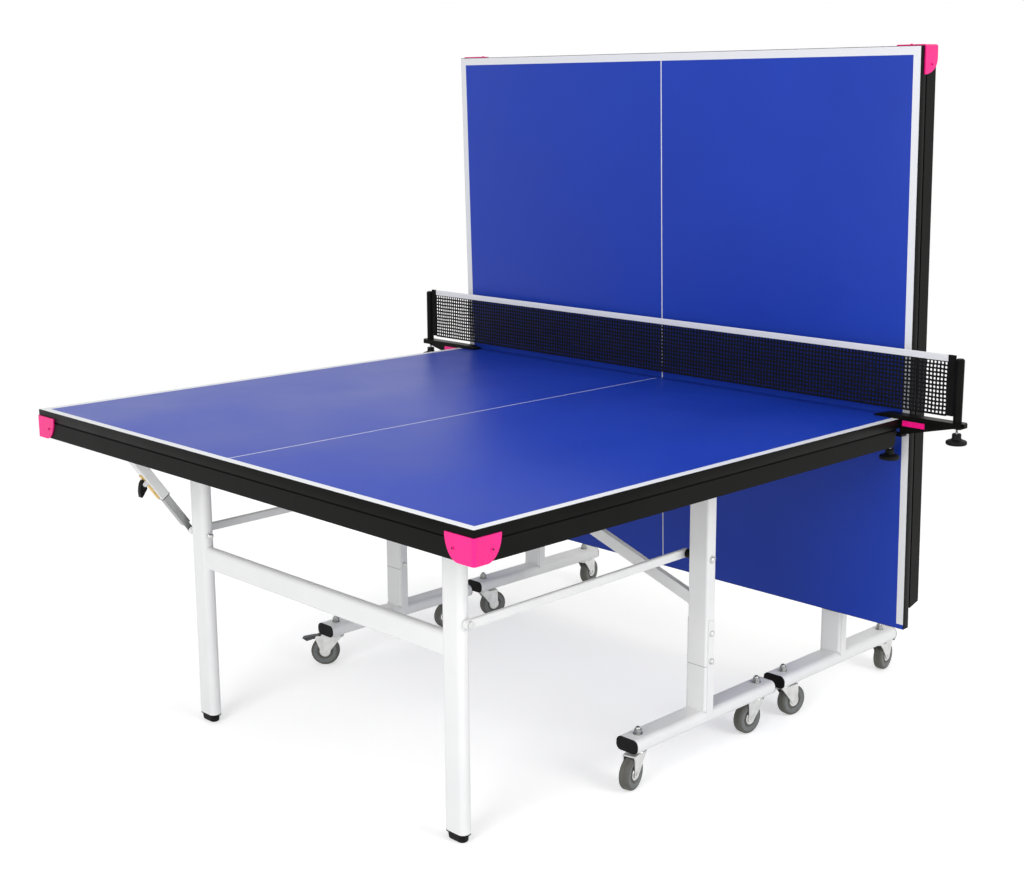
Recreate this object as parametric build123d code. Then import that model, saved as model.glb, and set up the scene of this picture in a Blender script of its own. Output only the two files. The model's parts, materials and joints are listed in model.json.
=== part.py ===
from build123d import *
import math
import os

# Ping pong table made of two separate half units. The near half is open, the far half is folded upright
# and stands at the net. X runs across the table, Y along it, Z up, and the floor is z = 0.
# Each piece is drawn for an open unit whose net edge is y = 0 and whose end line is at negative y.

# Board
table_width = 1525.0
half_length = 1370.0
surface_height = 760.0
board_thickness = 22.0

# Apron profile under the board's edges
apron_depth = 20.0
apron_height = 41.0
apron_wall = 1.5
groove_height = 4.0
groove_depth = 3.0
apron_net_gap = 48.0
apron_end_slant = 10.0

# Corner caps on the end corners
cap_wall = 3.0
cap_end_reach = 73.0
cap_side_reach = 63.0
cap_curve = 35.0
cap_board_lap = 8.0
cap_under_lap = 2.0
cap_corner_radius = 6.0
cap_screw_radius = 2.6
cap_screw_head = 1.5
cap_screw_inset = 22.0

# Fold: the board turns on the uprights, the legs turn on the board, and the links keep the legs upright
fold_angle = 91.5
pivot_from_net = 476.4
pivot_drop = 50.0
leg_pivot_drop = 56.0
leg_from_end = 232.0
link_drop = 235.0

# Tubes
tube_wall = 1.5
tube_corner = 6.0
pivot_top = 13.0
leg_spacing = 900.0
leg_width = 60.0
leg_thickness = 30.0
leg_corner = 14.0
foot_height = 20.0
foot_lip = 3.0
foot_width = 50.0
foot_thickness = 26.0
foot_corner = 12.0
foot_draft = 3.0
foot_rounding = 5.0
crossbar_height = 54.0
crossbar_thickness = 24.0
crossbar_corner = 10.0
crossbar_bottom = 387.5
upright_width = 56.0
upright_thickness = 31.0

# Trolley feet
beam_length = 500.0
beam_height = 32.0
beam_bottom = 86.0
beam_corner = 13.0
beam_wall = 2.0
beam_cap_lip = 3.0
beam_cap_plug = 12.0
stub_height = 106.0
strap_thickness = 3.0
strap_width = 21.0
strap_height = 214.0
strap_bolt_from_top = 30.0
strap_bolt_above_seam = 12.0
strap_bolt_radius = 4.0
strap_bolt_head = 3.0

# Brace between the uprights
brace_height = 28.0
brace_thickness = 14.0
brace_foot = 340.0
brace_knee = 369.0
brace_top = 487.0
brace_flat = 340.0
brace_knee_bend = 30.0
brace_top_bend = 60.0

# Link bars
link_height = 20.0
link_thickness = 12.0
link_corner = 4.0
link_gap = 2.5
link_head_gap = 10.0

# Pivot brackets and bolts
ear_thickness = 2.5
ear_radius = 16.0
ear_gap = 0.5
leg_ear_gap = 1.0
bracket_plate = 3.0
bracket_overhang = 14.0
pivot_radius = 6.0
link_bolt_radius = 5.0
bolt_head_factor = 1.6
bolt_head = 3.0
running_gap = 0.05
side_gap = 0.3
fixed_gap = 0.1

# Castors
wheel_radius = 37.5
wheel_width = 24.0
wheel_edge = 5.5
wheel_dish = 2.5
wheel_dish_radius = 24.0
hub_radius = 10.0
hub_proud = 0.7
castor_trail = 30.0
castor_inset = 37.0
stem_radius = 5.0
stem_nut_radius = 8.0
stem_nut_height = 11.0
stem_end = 5.0
race_radius = 18.0
race_height = 5.0
crown_radius = 20.0
crown_height = 3.2
cheek_gap = 1.0
cheek_thickness = 2.5
cheek_boss = 9.5
cheek_front = 14.0
axle_radius = 4.0
axle_head = 2.0

# Brake pedal
pedal_hinge_out = 50.0
pedal_hinge_drop = 10.4
pedal_pin_radius = 2.5
pedal_barrel_radius = 4.5
pedal_lug_radius = 5.0
pedal_width = 20.0
pedal_thickness = 8.0
pedal_reach = 90.0
pedal_tip = 30.0
pedal_tip_drop = 6.0
pedal_undercut = 12.0

# Lock strut on the outer side of one leg
strut_from_leg = 20.0
strut_top_back = 157.5
strut_top_drop = 14.0
strut_tube = 24.0
strut_wall = 2.0
strut_corner = 3.0
strut_tube_start = 119.0
strut_tube_past = 14.0
strut_bush = 15.0
strut_pin_radius = 5.0
rod_width = 18.0
rod_start = 24.0
rod_end_room = 13.0
tab_thickness = 3.5
tab_width = 14.0
tab_boss = 3.0
trigger_along = 178.0
trigger_out = 19.0
trigger_pin_radius = 2.5
trigger_hub = 6.0
trigger_width = 12.0
trigger_tip_along = 23.0
trigger_tip_out = 26.0
trigger_tip_radius = 4.5
trigger_lug = 2.5
trigger_lug_gap = 0.5

# Net set, clamped to the near half
net_inset = 27.0
net_top = 162.0
net_bottom = 23.0
net_strand = 2.0
net_thickness = 2.0
net_columns = 42
net_rows = 7
tape_height = 15.0
tape_thickness = 4.0
sleeve_thickness = 6.0
sleeve_width = 19.7
post_radius = 10.0
post_reach = 152.5
post_below_tape = 6.0
post_chamfer = 3.0
bracket_width = 30.0
flange_length = 67.0
flange_height = 10.0
flange_tip_height = 4.0
flange_slope = 30.0
bracket_back = 6.0
bracket_board_gap = 0.2
bracket_end = 16.0
bracket_end_depth = 13.0
gusset_width = 22.0
gusset_depth = 36.0
jaw_drop = 14.0
jaw_thickness = 6.0
jaw_length = 64.0
cleat_length = 6.0
cleat_height = 10.0
cleat_width = 14.0
clamp_screw_in = 31.0
clamp_screw_radius = 4.0
clamp_pad_radius = 9.0
clamp_pad_height = 6.0
clamp_tip_radius = 3.0
clamp_tip_length = 4.0
clamp_thread_below = 34.0
height_screw_radius = 3.0
height_screw_in = 10.0
height_screw_below = 12.0
knob_radius = 24.0
knob_cap = 12.0
knob_neck_radius = 10.5
knob_neck = 14.0
knob_rounding = 5.0

# Stance: how far past the near half's net edge the far pivot stands at least, the least gap between the two
# trolleys' beams, and how each castor was left turned
far_pivot_least = 56.3
beam_gap = 20.0
near_swivels = {"right_front": 13.0, "right_rear": -5.0, "left_front": -46.0, "left_rear": -12.0}
far_swivels = {"right_front": 12.0, "right_rear": -16.0, "left_front": 8.0, "left_rear": -10.0}
braked_castor = "left_front"

# Places worked out from the sizes above
board_bottom = surface_height - board_thickness
apron_bottom = board_bottom - apron_height
half_width = table_width / 2
leg_x = leg_spacing / 2
leg_y = leg_from_end - half_length
leg_inner = leg_x - leg_width / 2
leg_outer = leg_x + leg_width / 2
link_inner = leg_outer + link_gap
link_outer = link_inner + link_thickness
upright_inner = link_outer + link_head_gap + bolt_head + ear_thickness + ear_gap
upright_outer = upright_inner + upright_width
upright_x = (upright_inner + upright_outer) / 2
beam_width = upright_width + 2 * strap_thickness
beam_top = beam_bottom + beam_height
seam_height = beam_top + stub_height
strap_top = beam_top + strap_height
trolley_pivot = Vector(0, -pivot_from_net, surface_height - pivot_drop)
leg_pivot = Vector(0, leg_y, surface_height - leg_pivot_drop)
link_pivot = trolley_pivot - Vector(0, 0, link_drop)
link_leg_pivot = leg_pivot - Vector(0, 0, link_drop)
link_span = trolley_pivot - leg_pivot
strut_x = -(leg_outer + strut_from_leg)
strut_pivot = leg_pivot - Vector(0, strut_top_back, strut_top_drop)
strut_length = (strut_pivot - link_leg_pivot).length
strut_lean = math.degrees(math.atan2(strut_top_back, strut_pivot.Z - link_leg_pivot.Z))
fold_turn = math.radians(fold_angle)
strut_out_folded = Vector(0, link_drop * math.sin(fold_turn), -link_drop * math.cos(fold_turn))
strut_folded = leg_pivot + strut_out_folded - strut_pivot
strut_travel = strut_folded.length - strut_length
strut_turn = math.degrees(math.atan2(strut_folded.Z, strut_folded.Y)) + 90 - strut_lean
far_pivot_from_net = max(far_pivot_least, beam_length + beam_gap - pivot_from_net)
stem_y = beam_length / 2 - castor_inset
castor_spots = {
    "right_front": (upright_x, -pivot_from_net - stem_y),
    "right_rear": (upright_x, -pivot_from_net + stem_y),
    "left_front": (-upright_x, -pivot_from_net - stem_y),
    "left_rear": (-upright_x, -pivot_from_net + stem_y),
}
fork_top = beam_bottom - side_gap
crown_bottom = fork_top - race_height - crown_height
cheek_inner = wheel_width / 2 + cheek_gap
cheek_outer = cheek_inner + cheek_thickness
net_y = -net_inset
post_x = half_width + post_reach - post_radius
net_half_width = post_x - post_radius - side_gap - sleeve_width
clamp_x = half_width - clamp_screw_in
jaw_top = board_bottom - jaw_drop
bracket_top = surface_height + flange_height
post_seat = bracket_top - bracket_end_depth


def block(x, y, z):
    low = Vector(x[0], y[0], z[0])
    high = Vector(x[1], y[1], z[1])
    size = high - low
    return Pos(*(low + size / 2)) * Box(size.X, size.Y, size.Z)


def bar_x(radius, ends, y, z):
    return Pos((ends[0] + ends[1]) / 2, y, z) * Rot(0, 90, 0) * Cylinder(radius, abs(ends[1] - ends[0]))


def bar_z(radius, x, y, ends):
    return Pos(x, y, (ends[0] + ends[1]) / 2) * Cylinder(radius, ends[1] - ends[0])


def tube(width, thickness, length, wall, corner):
    # A hollow rounded tube along Z, centred on the origin
    outer = RectangleRounded(width, thickness, corner)
    inner = RectangleRounded(width - 2 * wall, thickness - 2 * wall, corner - wall)
    return extrude(outer - inner, length / 2, both=True)


def yz_shape(points, ends):
    # A prism along X from an outline of (y, z) points
    face = make_face(Plane.YZ * Polyline(*points, close=True))
    return Pos(ends[0], 0, 0) * extrude(face, ends[1] - ends[0], dir=(1, 0, 0))


def xz_shape(points, ends):
    # A prism along Y from an outline of (x, z) points
    face = make_face(Plane.XZ * Polyline(*points, close=True))
    return Pos(0, ends[0], 0) * extrude(face, ends[1] - ends[0], dir=(0, 1, 0))


def hull_face(outlines):
    # The (y, z) face stretched round several outlines
    return Plane.YZ * make_hull([edge for outline in outlines for edge in outline.edges()])


def mirrored(shape):
    return [shape, mirror(shape, about=Plane.YZ)]


def group(solids):
    return Compound(children=list(solids))


def board():
    return block((-half_width, half_width), (-half_length, 0), (board_bottom, surface_height))


def apron_section():
    # Outline as (distance in from the board's edge, height), with a shadow groove under the board
    groove_z = board_bottom - groove_height
    outer = [(0, apron_bottom), (0, groove_z), (groove_depth, groove_z), (groove_depth, board_bottom)]
    outer += [(apron_depth, board_bottom), (apron_depth, apron_bottom)]
    low = apron_bottom + apron_wall
    high = groove_z - apron_wall
    inner = [(apron_wall, low), (apron_wall, high), (apron_depth - apron_wall, high)]
    inner += [(apron_depth - apron_wall, low)]
    return outer, inner


def aprons():
    outer, inner = apron_section()
    across = (-half_width, half_width)
    end_outer = yz_shape([(u - half_length, z) for u, z in outer], across)
    end_inner = yz_shape([(u - half_length, z) for u, z in inner], across)
    along = (apron_depth - half_length, -apron_net_gap)
    side_outer = xz_shape([(half_width - u, z) for u, z in outer], along)
    side_inner = xz_shape([(half_width - u, z) for u, z in inner], along)
    net_end = [(along[1], board_bottom), (along[1], apron_bottom), (along[1] - apron_end_slant, apron_bottom)]
    slant = yz_shape(net_end, (half_width - apron_depth, half_width))
    return group([end_outer - end_inner] + mirrored(side_outer - side_inner - slant))


def cap_face(reach):
    # One cap wing as (distance from the corner, height), with its far edge a quarter ellipse
    low = apron_bottom - cap_under_lap
    high = board_bottom + cap_board_lap
    straight = reach - cap_curve
    edge = EllipticalCenterArc((straight, high), cap_curve, high - low, start_angle=270, arc_size=90)
    return make_face([edge, Polyline((reach, high), (0, high), (0, low), (straight, low))])


def corner_caps():
    corner_x = half_width + cap_wall
    corner_y = -half_length - cap_wall
    end_plane = Plane(origin=(corner_x, corner_y, 0), x_dir=(-1, 0, 0), z_dir=(0, 1, 0))
    end_wing = extrude(end_plane * cap_face(cap_end_reach + cap_wall), cap_wall, dir=(0, 1, 0))
    side_plane = Plane(origin=(half_width, corner_y, 0), x_dir=(0, 1, 0), z_dir=(1, 0, 0))
    side_wing = extrude(side_plane * cap_face(cap_side_reach + cap_wall), cap_wall, dir=(1, 0, 0))
    cap = end_wing + side_wing
    corner = cap.edges().filter_by(Axis.Z).sort_by(lambda e: e.center().X - e.center().Y)[-1]
    return group(mirrored(fillet(corner, cap_corner_radius)))


def cap_screws():
    z = apron_bottom + apron_height / 2 + cap_under_lap
    end_face = -half_length - cap_wall
    end_x = half_width - cap_end_reach + cap_screw_inset
    head = Rot(90, 0, 0) * Cylinder(cap_screw_radius, cap_screw_head)
    end_screw = Pos(end_x, end_face - cap_screw_head / 2, z) * head
    side_face = half_width + cap_wall
    side_y = -half_length + cap_side_reach - cap_screw_inset
    side_screw = bar_x(cap_screw_radius, (side_face, side_face + cap_screw_head), side_y, z)
    return mirrored(end_screw) + mirrored(side_screw)


def ear(x0, spot, radius):
    # One bracket plate from the board down round a pivot, starting at x0
    ends = (x0, x0 + ear_thickness)
    plate = block(ends, (spot.Y - radius, spot.Y + radius), (spot.Z, board_bottom - bracket_plate))
    return plate + bar_x(radius, ends, spot.Y, spot.Z)


def bracket(low, high, spot, radius, bore):
    # A saddle under the board with two ears outside low and high
    inner, outer = low - ear_thickness, high + ear_thickness
    plate = block(
        (inner - bracket_overhang, outer + bracket_overhang),
        (spot.Y - radius, spot.Y + radius),
        (board_bottom - bracket_plate, board_bottom),
    )
    saddle = plate + ear(inner, spot, radius) + ear(high, spot, radius)
    return saddle - bar_x(bore, (inner, outer), spot.Y, spot.Z)


def bolt(radius, low, high, spot):
    # A bolt along X whose heads close on low and high
    heads = [(low - bolt_head, low), (high, high + bolt_head)]
    shank = bar_x(radius, (low - bolt_head, high + bolt_head), spot.Y, spot.Z)
    for ends in heads:
        shank += bar_x(radius * bolt_head_factor, ends, spot.Y, spot.Z)
    return shank


def strut_sides():
    half = strut_tube / 2 + ear_gap
    return strut_x - half, strut_x + half


def pivot_brackets():
    bore = pivot_radius + running_gap
    trolley = bracket(upright_inner - ear_gap, upright_outer + ear_gap, trolley_pivot, ear_radius, bore)
    leg = bracket(leg_inner - leg_ear_gap, leg_outer + leg_ear_gap, leg_pivot, ear_radius, bore)
    low, high = strut_sides()
    strut = bracket(low, high, strut_pivot, ear_radius, strut_pin_radius + running_gap)
    return group(mirrored(trolley) + mirrored(leg) + [strut])


def top_bolts():
    wall = ear_gap + ear_thickness
    trolley = bolt(pivot_radius, upright_inner - wall, upright_outer + wall, trolley_pivot)
    wall = leg_ear_gap + ear_thickness
    leg = bolt(pivot_radius, leg_inner - wall, leg_outer + wall, leg_pivot)
    low, high = strut_sides()
    strut = bolt(strut_pin_radius, low - ear_thickness, high + ear_thickness, strut_pivot)
    return group(mirrored(trolley) + mirrored(leg) + [strut] + cap_screws())


def leg_frame():
    top = leg_pivot.Z + pivot_top
    middle = Pos(leg_x, leg_y, (top + foot_height) / 2)
    leg = middle * tube(leg_width, leg_thickness, top - foot_height, tube_wall, leg_corner)
    leg -= bar_x(pivot_radius + running_gap, (leg_inner, leg_outer), leg_y, leg_pivot.Z)
    leg -= bar_x(link_bolt_radius + running_gap, (leg_inner, leg_outer), leg_y, link_leg_pivot.Z)
    # The crossbar's ends are cut to the round sides of the legs
    length = 2 * (leg_inner + leg_corner)
    crossbar = tube(crossbar_height, crossbar_thickness, length, tube_wall, crossbar_corner)
    crossbar = Pos(0, leg_y, crossbar_bottom + crossbar_height / 2) * Rot(0, 90, 0) * crossbar
    whole_leg = RectangleRounded(leg_width, leg_thickness, leg_corner)
    for cutter in mirrored(middle * extrude(whole_leg, crossbar_bottom + crossbar_height, both=True)):
        crossbar -= cutter
    return group(mirrored(leg) + [crossbar])


def leg_feet():
    lip = extrude(RectangleRounded(leg_width, leg_thickness, leg_corner), foot_lip)
    sole_corner = foot_corner - foot_draft / 2
    sole = RectangleRounded(foot_width - foot_draft, foot_thickness - foot_draft, sole_corner)
    neck = RectangleRounded(foot_width, foot_thickness, foot_corner)
    body = loft([sole, Pos(0, 0, foot_height - foot_lip) * neck])
    body = fillet(body.edges().group_by(Axis.Z)[0], foot_rounding)
    foot = body + Pos(0, 0, foot_height - foot_lip) * lip
    return group(mirrored(Pos(leg_x, leg_y, 0) * foot))


def link_bars():
    length = link_span.length + link_height
    bar = tube(link_thickness, link_height, length, tube_wall, link_corner)
    bar = Rot(90, 0, 0) * bar
    middle = (link_pivot + link_leg_pivot) / 2
    tilt = math.degrees(math.atan2(link_span.Z, link_span.Y))
    bar = Pos((link_inner + link_outer) / 2, middle.Y, middle.Z) * Rot(tilt, 0, 0) * bar
    ends = [Pos(spot.Y, spot.Z) * Circle(link_height / 2) for spot in (link_pivot, link_leg_pivot)]
    bar &= Pos(link_inner, 0, 0) * extrude(hull_face(ends), link_thickness, dir=(1, 0, 0))
    for spot in (link_pivot, link_leg_pivot):
        bar -= bar_x(link_bolt_radius + running_gap, (link_inner, link_outer), spot.Y, spot.Z)
    return group(mirrored(bar))


def link_bolts():
    # Shoulder bolts that turn with the links, in the uprights and in the legs
    washer = link_bolt_radius * bolt_head_factor
    trolley = bolt(link_bolt_radius, link_inner, upright_outer + side_gap, link_pivot)
    trolley += bar_x(washer, (link_outer, upright_inner - side_gap), link_pivot.Y, link_pivot.Z)
    leg = bolt(link_bolt_radius, leg_inner - side_gap, link_outer, link_leg_pivot)
    leg += bar_x(washer, (leg_outer + side_gap, link_inner), link_leg_pivot.Y, link_leg_pivot.Z)
    return group(mirrored(trolley) + mirrored(leg))


def strap_bolt_heights():
    return strap_top - strap_bolt_from_top, seam_height + strap_bolt_above_seam


def brace():
    # The ends bend down until their inner side meets the uprights, and are cut there
    tail_x = upright_inner + brace_height / 2
    bends = [(tail_x, brace_foot), (tail_x, brace_knee), (brace_flat / 2, brace_top)]
    route = [(-x, z) for x, z in bends] + [(x, z) for x, z in reversed(bends)]
    radii = [brace_knee_bend, brace_top_bend, brace_top_bend, brace_knee_bend]
    path = FilletPolyline(*[(x, -pivot_from_net, z) for x, z in route], radius=radii)
    outer = Rectangle(brace_height, brace_thickness)
    inner = Rectangle(brace_height - 2 * tube_wall, brace_thickness - 2 * tube_wall)
    start = Plane(path @ 0, x_dir=(1, 0, 0), z_dir=path % 0)
    bar = sweep(start * (outer - inner), path)
    half = brace_thickness / 2
    across = (-pivot_from_net - half, -pivot_from_net + half)
    for cutter in mirrored(block((upright_inner, upright_outer), across, (brace_foot, brace_top))):
        bar -= cutter
    return bar


def trolley_frame():
    top = trolley_pivot.Z + pivot_top
    upright = tube(upright_width, upright_thickness, top - seam_height, tube_wall, tube_corner)
    upright = Pos(upright_x, -pivot_from_net, (top + seam_height) / 2) * upright
    sides = (upright_inner, upright_outer)
    upright -= bar_x(pivot_radius + running_gap, sides, -pivot_from_net, trolley_pivot.Z)
    upright -= bar_x(link_bolt_radius + running_gap, sides, -pivot_from_net, link_pivot.Z)
    for z in strap_bolt_heights():
        upright -= bar_x(strap_bolt_radius + fixed_gap, sides, -pivot_from_net, z)
    return group(mirrored(upright) + [brace()])


def trolley_feet():
    beam_run = beam_length - 2 * beam_cap_lip
    beam = Rot(90, 0, 0) * tube(beam_width, beam_height, beam_run, beam_wall, beam_corner)
    foot = Pos(0, 0, beam_bottom + beam_height / 2) * beam
    for y in (-stem_y, stem_y):
        foot -= bar_z(stem_radius + fixed_gap, 0, y, (beam_bottom, beam_top))
    stub = tube(upright_width, upright_thickness, stub_height, tube_wall, tube_corner)
    foot += Pos(0, 0, beam_top + stub_height / 2) * stub
    half_strap = strap_width / 2
    beam_middle = beam_bottom + beam_height / 2
    for x in (-beam_width / 2, upright_width / 2):
        strap = block((x, x + strap_thickness), (-half_strap, half_strap), (beam_middle, strap_top))
        strap = chamfer(strap.edges().filter_by(Axis.X).group_by(Axis.Z)[-1], strap_thickness)
        for z in strap_bolt_heights():
            strap -= bar_x(strap_bolt_radius + fixed_gap, (x, x + strap_thickness), 0, z)
        foot += strap
    return group(mirrored(Pos(upright_x, -pivot_from_net, 0) * foot))


def beam_caps():
    gap = beam_wall + fixed_gap
    lip = extrude(RectangleRounded(beam_width, beam_height, beam_corner), beam_cap_lip)
    plug = RectangleRounded(beam_width - 2 * gap, beam_height - 2 * gap, beam_corner - gap)
    cap = fillet(lip.edges().group_by(Axis.Z)[-1], beam_cap_lip / 2) + extrude(plug, -beam_cap_plug)
    middle = beam_bottom + beam_height / 2
    front = Pos(upright_x, -pivot_from_net - beam_length / 2 + beam_cap_lip, middle) * Rot(90, 0, 0) * cap
    rear = Pos(upright_x, -pivot_from_net + beam_length / 2 - beam_cap_lip, middle) * Rot(-90, 0, 0) * cap
    return group(mirrored(front) + mirrored(rear))


def trolley_bolts():
    solids = []
    head = strap_bolt_radius * bolt_head_factor
    faces = (upright_x - beam_width / 2, upright_x + beam_width / 2)
    for z in strap_bolt_heights():
        low, high = faces[0] - strap_bolt_head, faces[1] + strap_bolt_head
        pin = bar_x(strap_bolt_radius, (low, high), -pivot_from_net, z)
        pin += bar_x(head, (low, faces[0]), -pivot_from_net, z)
        pin += bar_x(head, (faces[1], high), -pivot_from_net, z)
        solids += mirrored(pin)
    nut_top = beam_top + stem_nut_height
    for x, y in castor_spots.values():
        stem = bar_z(stem_radius, x, y, (crown_bottom, nut_top + stem_end))
        nut = Pos(x, y, beam_top) * extrude(RegularPolygon(stem_nut_radius, 6), stem_nut_height)
        solids.append(stem + nut)
    return group(solids)


def fork(braked):
    # Castor fork about its stem axis, with the wheel trailing towards negative y
    body = bar_z(race_radius, 0, 0, (fork_top - race_height, fork_top))
    crown = (crown_bottom, fork_top - race_height)
    body += bar_z(crown_radius, 0, 0, crown)
    front = -castor_trail - cheek_boss
    body += block((-cheek_outer, cheek_outer), (front, cheek_front), crown)
    bounds = [Pos(-castor_trail, wheel_radius) * Circle(cheek_boss)]
    top = Rectangle(cheek_front - front, crown_height)
    bounds.append(Pos((cheek_front + front) / 2, crown_bottom + crown_height / 2) * top)
    if braked:
        bounds.append(Pos(-pedal_hinge_out, beam_bottom - pedal_hinge_drop) * Circle(pedal_lug_radius))
    plate = extrude(hull_face(bounds), cheek_thickness, dir=(1, 0, 0))
    body += Pos(cheek_inner, 0, 0) * plate
    body += Pos(-cheek_outer, 0, 0) * plate
    reach = cheek_outer + axle_head
    body += bar_x(axle_radius, (-reach, reach), -castor_trail, wheel_radius)
    if braked:
        hinge_z = beam_bottom - pedal_hinge_drop
        body += bar_x(pedal_pin_radius, (-cheek_outer, cheek_outer), -pedal_hinge_out, hinge_z)
    return body - bar_z(stem_radius + running_gap, 0, 0, (crown_bottom, fork_top))


def wheel():
    half = wheel_width / 2
    hub = half + hub_proud
    dish = half - wheel_dish
    bore = axle_radius + running_gap
    side = [(hub, bore), (hub, hub_radius), (dish, hub_radius), (dish, wheel_dish_radius)]
    side += [(half, wheel_dish_radius + wheel_dish), (half, wheel_radius)]
    outline = side + [(-x, r) for x, r in reversed(side)]
    face = make_face(Polyline(*outline, close=True))
    rims = [v for v in face.vertices() if v.Y > wheel_radius - wheel_dish]
    face = fillet(rims, wheel_edge)
    return Pos(0, -castor_trail, wheel_radius) * revolve(face, Axis.X)


def brake_pedal():
    hinge_z = beam_bottom - pedal_hinge_drop
    half = pedal_thickness / 2
    bend = pedal_reach - pedal_tip
    outline = [(-pedal_hinge_out, hinge_z + half), (-bend, hinge_z + half)]
    outline += [(-pedal_reach, hinge_z + half - pedal_tip_drop)]
    outline += [(pedal_undercut - pedal_reach, hinge_z - half - pedal_tip_drop), (-bend, hinge_z - half)]
    outline += [(-pedal_hinge_out, hinge_z - half)]
    plate = yz_shape(outline, (-pedal_width / 2, pedal_width / 2))
    barrel = (-cheek_inner + side_gap, cheek_inner - side_gap)
    body = plate + bar_x(pedal_barrel_radius, barrel, -pedal_hinge_out, hinge_z)
    return body - bar_x(pedal_pin_radius + running_gap, barrel, -pedal_hinge_out, hinge_z)


def strut_place():
    # The strut's own frame: origin on the lower pivot, z towards the upper pivot
    return Pos(strut_x, link_leg_pivot.Y, link_leg_pivot.Z) * Rot(strut_lean, 0, 0)


def strut_outer():
    top = strut_length + strut_tube_past
    body = tube(strut_tube, strut_tube, top - strut_tube_start, strut_wall, strut_corner)
    body = Pos(0, 0, (top + strut_tube_start) / 2) * body
    room = strut_tube - strut_wall
    bore = rod_width + 2 * side_gap
    bush = Box(room, room, strut_bush) - Box(bore, bore, strut_bush)
    body += Pos(0, 0, strut_tube_start + strut_bush / 2) * bush
    half = strut_tube / 2
    body -= bar_x(strut_pin_radius + running_gap, (-half, half), 0, strut_length)
    lug_in = trigger_width / 2 + trigger_lug_gap
    for x in (lug_in, -lug_in - trigger_lug):
        ends = (x, x + trigger_lug)
        body += block(ends, (-trigger_out, -half), (trigger_along - trigger_hub, trigger_along + trigger_hub))
        body += bar_x(trigger_hub, ends, -trigger_out, trigger_along)
    reach = lug_in + trigger_lug
    body += bar_x(trigger_pin_radius, (-reach, reach), -trigger_out, trigger_along)
    return strut_place() * body


def strut_rod():
    half = rod_width / 2
    rod = block((-half, half), (-half, half), (rod_start, strut_length - rod_end_room))
    tab_inner = -(link_outer + bolt_head + side_gap) - strut_x
    tab_ends = (tab_inner - tab_thickness, tab_inner)
    tab = block(tab_ends, (-tab_width / 2, tab_width / 2), (0, rod_start + tab_width))
    tab += bar_x(tab_width / 2, tab_ends, 0, 0)
    boss = bar_x(tab_width / 2, (tab_ends[0] - tab_boss, tab_ends[0]), 0, 0)
    return strut_place() * (rod + tab + boss)


def strut_trigger():
    half = trigger_width / 2
    hub = bar_x(trigger_hub, (-half, half), -trigger_out, trigger_along)
    pivot = Pos(-trigger_out, trigger_along) * Circle(trigger_hub)
    tip_y = -trigger_out - trigger_tip_out
    tip = Pos(tip_y, trigger_along - trigger_tip_along) * Circle(trigger_tip_radius)
    arm = extrude(hull_face([pivot, tip]), trigger_width, dir=(1, 0, 0))
    body = hub + Pos(-half, 0, 0) * arm
    body -= bar_x(trigger_pin_radius + running_gap, (-half, half), -trigger_out, trigger_along)
    return strut_place() * body


def net_mesh():
    low = surface_height + net_bottom
    high = surface_height + net_top - tape_height
    width = 2 * net_half_width
    gap_x = (width - net_strand) / net_columns
    gap_z = (high - low - net_strand) / net_rows
    hole = Rectangle(gap_x - net_strand, gap_z - net_strand)
    spots = GridLocations(gap_x, gap_z, net_columns, net_rows)
    holes = [(spot * hole).face().outer_wire() for spot in spots]
    face = Face(Rectangle(width, high - low).face().outer_wire(), holes)
    sheet = Solid.extrude(face, Vector(0, 0, net_thickness))
    return Pos(0, net_y + net_thickness / 2, (low + high) / 2) * Rot(90, 0, 0) * sheet


def net_tape():
    high = surface_height + net_top
    across = (net_y - tape_thickness / 2, net_y + tape_thickness / 2)
    return block((-net_half_width, net_half_width), across, (high - tape_height, high))


def net_sleeves():
    across = (net_y - sleeve_thickness / 2, net_y + sleeve_thickness / 2)
    ends = (net_half_width, net_half_width + sleeve_width)
    return group(mirrored(block(ends, across, (surface_height + net_bottom, surface_height + net_top))))


def net_brackets():
    edge = half_width + bracket_board_gap
    back = half_width + bracket_back
    tip = half_width - flange_length
    end = post_x + bracket_end
    rail = [(tip, surface_height), (tip, surface_height + flange_tip_height)]
    rail += [(tip + flange_slope, bracket_top), (end, bracket_top), (end, post_seat)]
    rail += [(post_x - bracket_end, post_seat)]
    rail += [(post_x - bracket_end, surface_height)]
    gusset = [(edge, surface_height), (post_x, surface_height), (post_x, post_seat)]
    gusset += [(back, surface_height - gusset_depth), (back, jaw_top - jaw_thickness)]
    gusset += [(half_width - jaw_length, jaw_top - jaw_thickness), (half_width - jaw_length, jaw_top)]
    gusset += [(edge, jaw_top)]
    body = xz_shape(rail, (net_y - bracket_width / 2, net_y + bracket_width / 2))
    body += xz_shape(gusset, (net_y - gusset_width / 2, net_y + gusset_width / 2))
    post_top = surface_height + net_top - post_below_tape
    post = bar_z(post_radius, post_x, net_y, (bracket_top, post_top))
    post = chamfer(post.edges().group_by(Axis.Z)[-1], post_chamfer)
    cleat_z = (bracket_top - cleat_height, bracket_top)
    cleat = block((end, end + cleat_length), (net_y - cleat_width / 2, net_y + cleat_width / 2), cleat_z)
    body = body + post + cleat
    body -= bar_z(clamp_screw_radius + running_gap, clamp_x, net_y, (jaw_top - jaw_thickness, jaw_top))
    screw_run = (post_seat - height_screw_below, post_seat + height_screw_in + side_gap)
    body -= bar_z(height_screw_radius + running_gap, post_x, net_y, screw_run)
    return group(mirrored(body))


def knob(top):
    # A mushroom knob that hangs below top
    neck = bar_z(knob_neck_radius, 0, 0, (top - knob_neck, top))
    cap = bar_z(knob_radius, 0, 0, (top - knob_neck - knob_cap, top - knob_neck))
    return neck + fillet(cap.edges().filter_by(GeomType.CIRCLE), knob_rounding)


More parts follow.
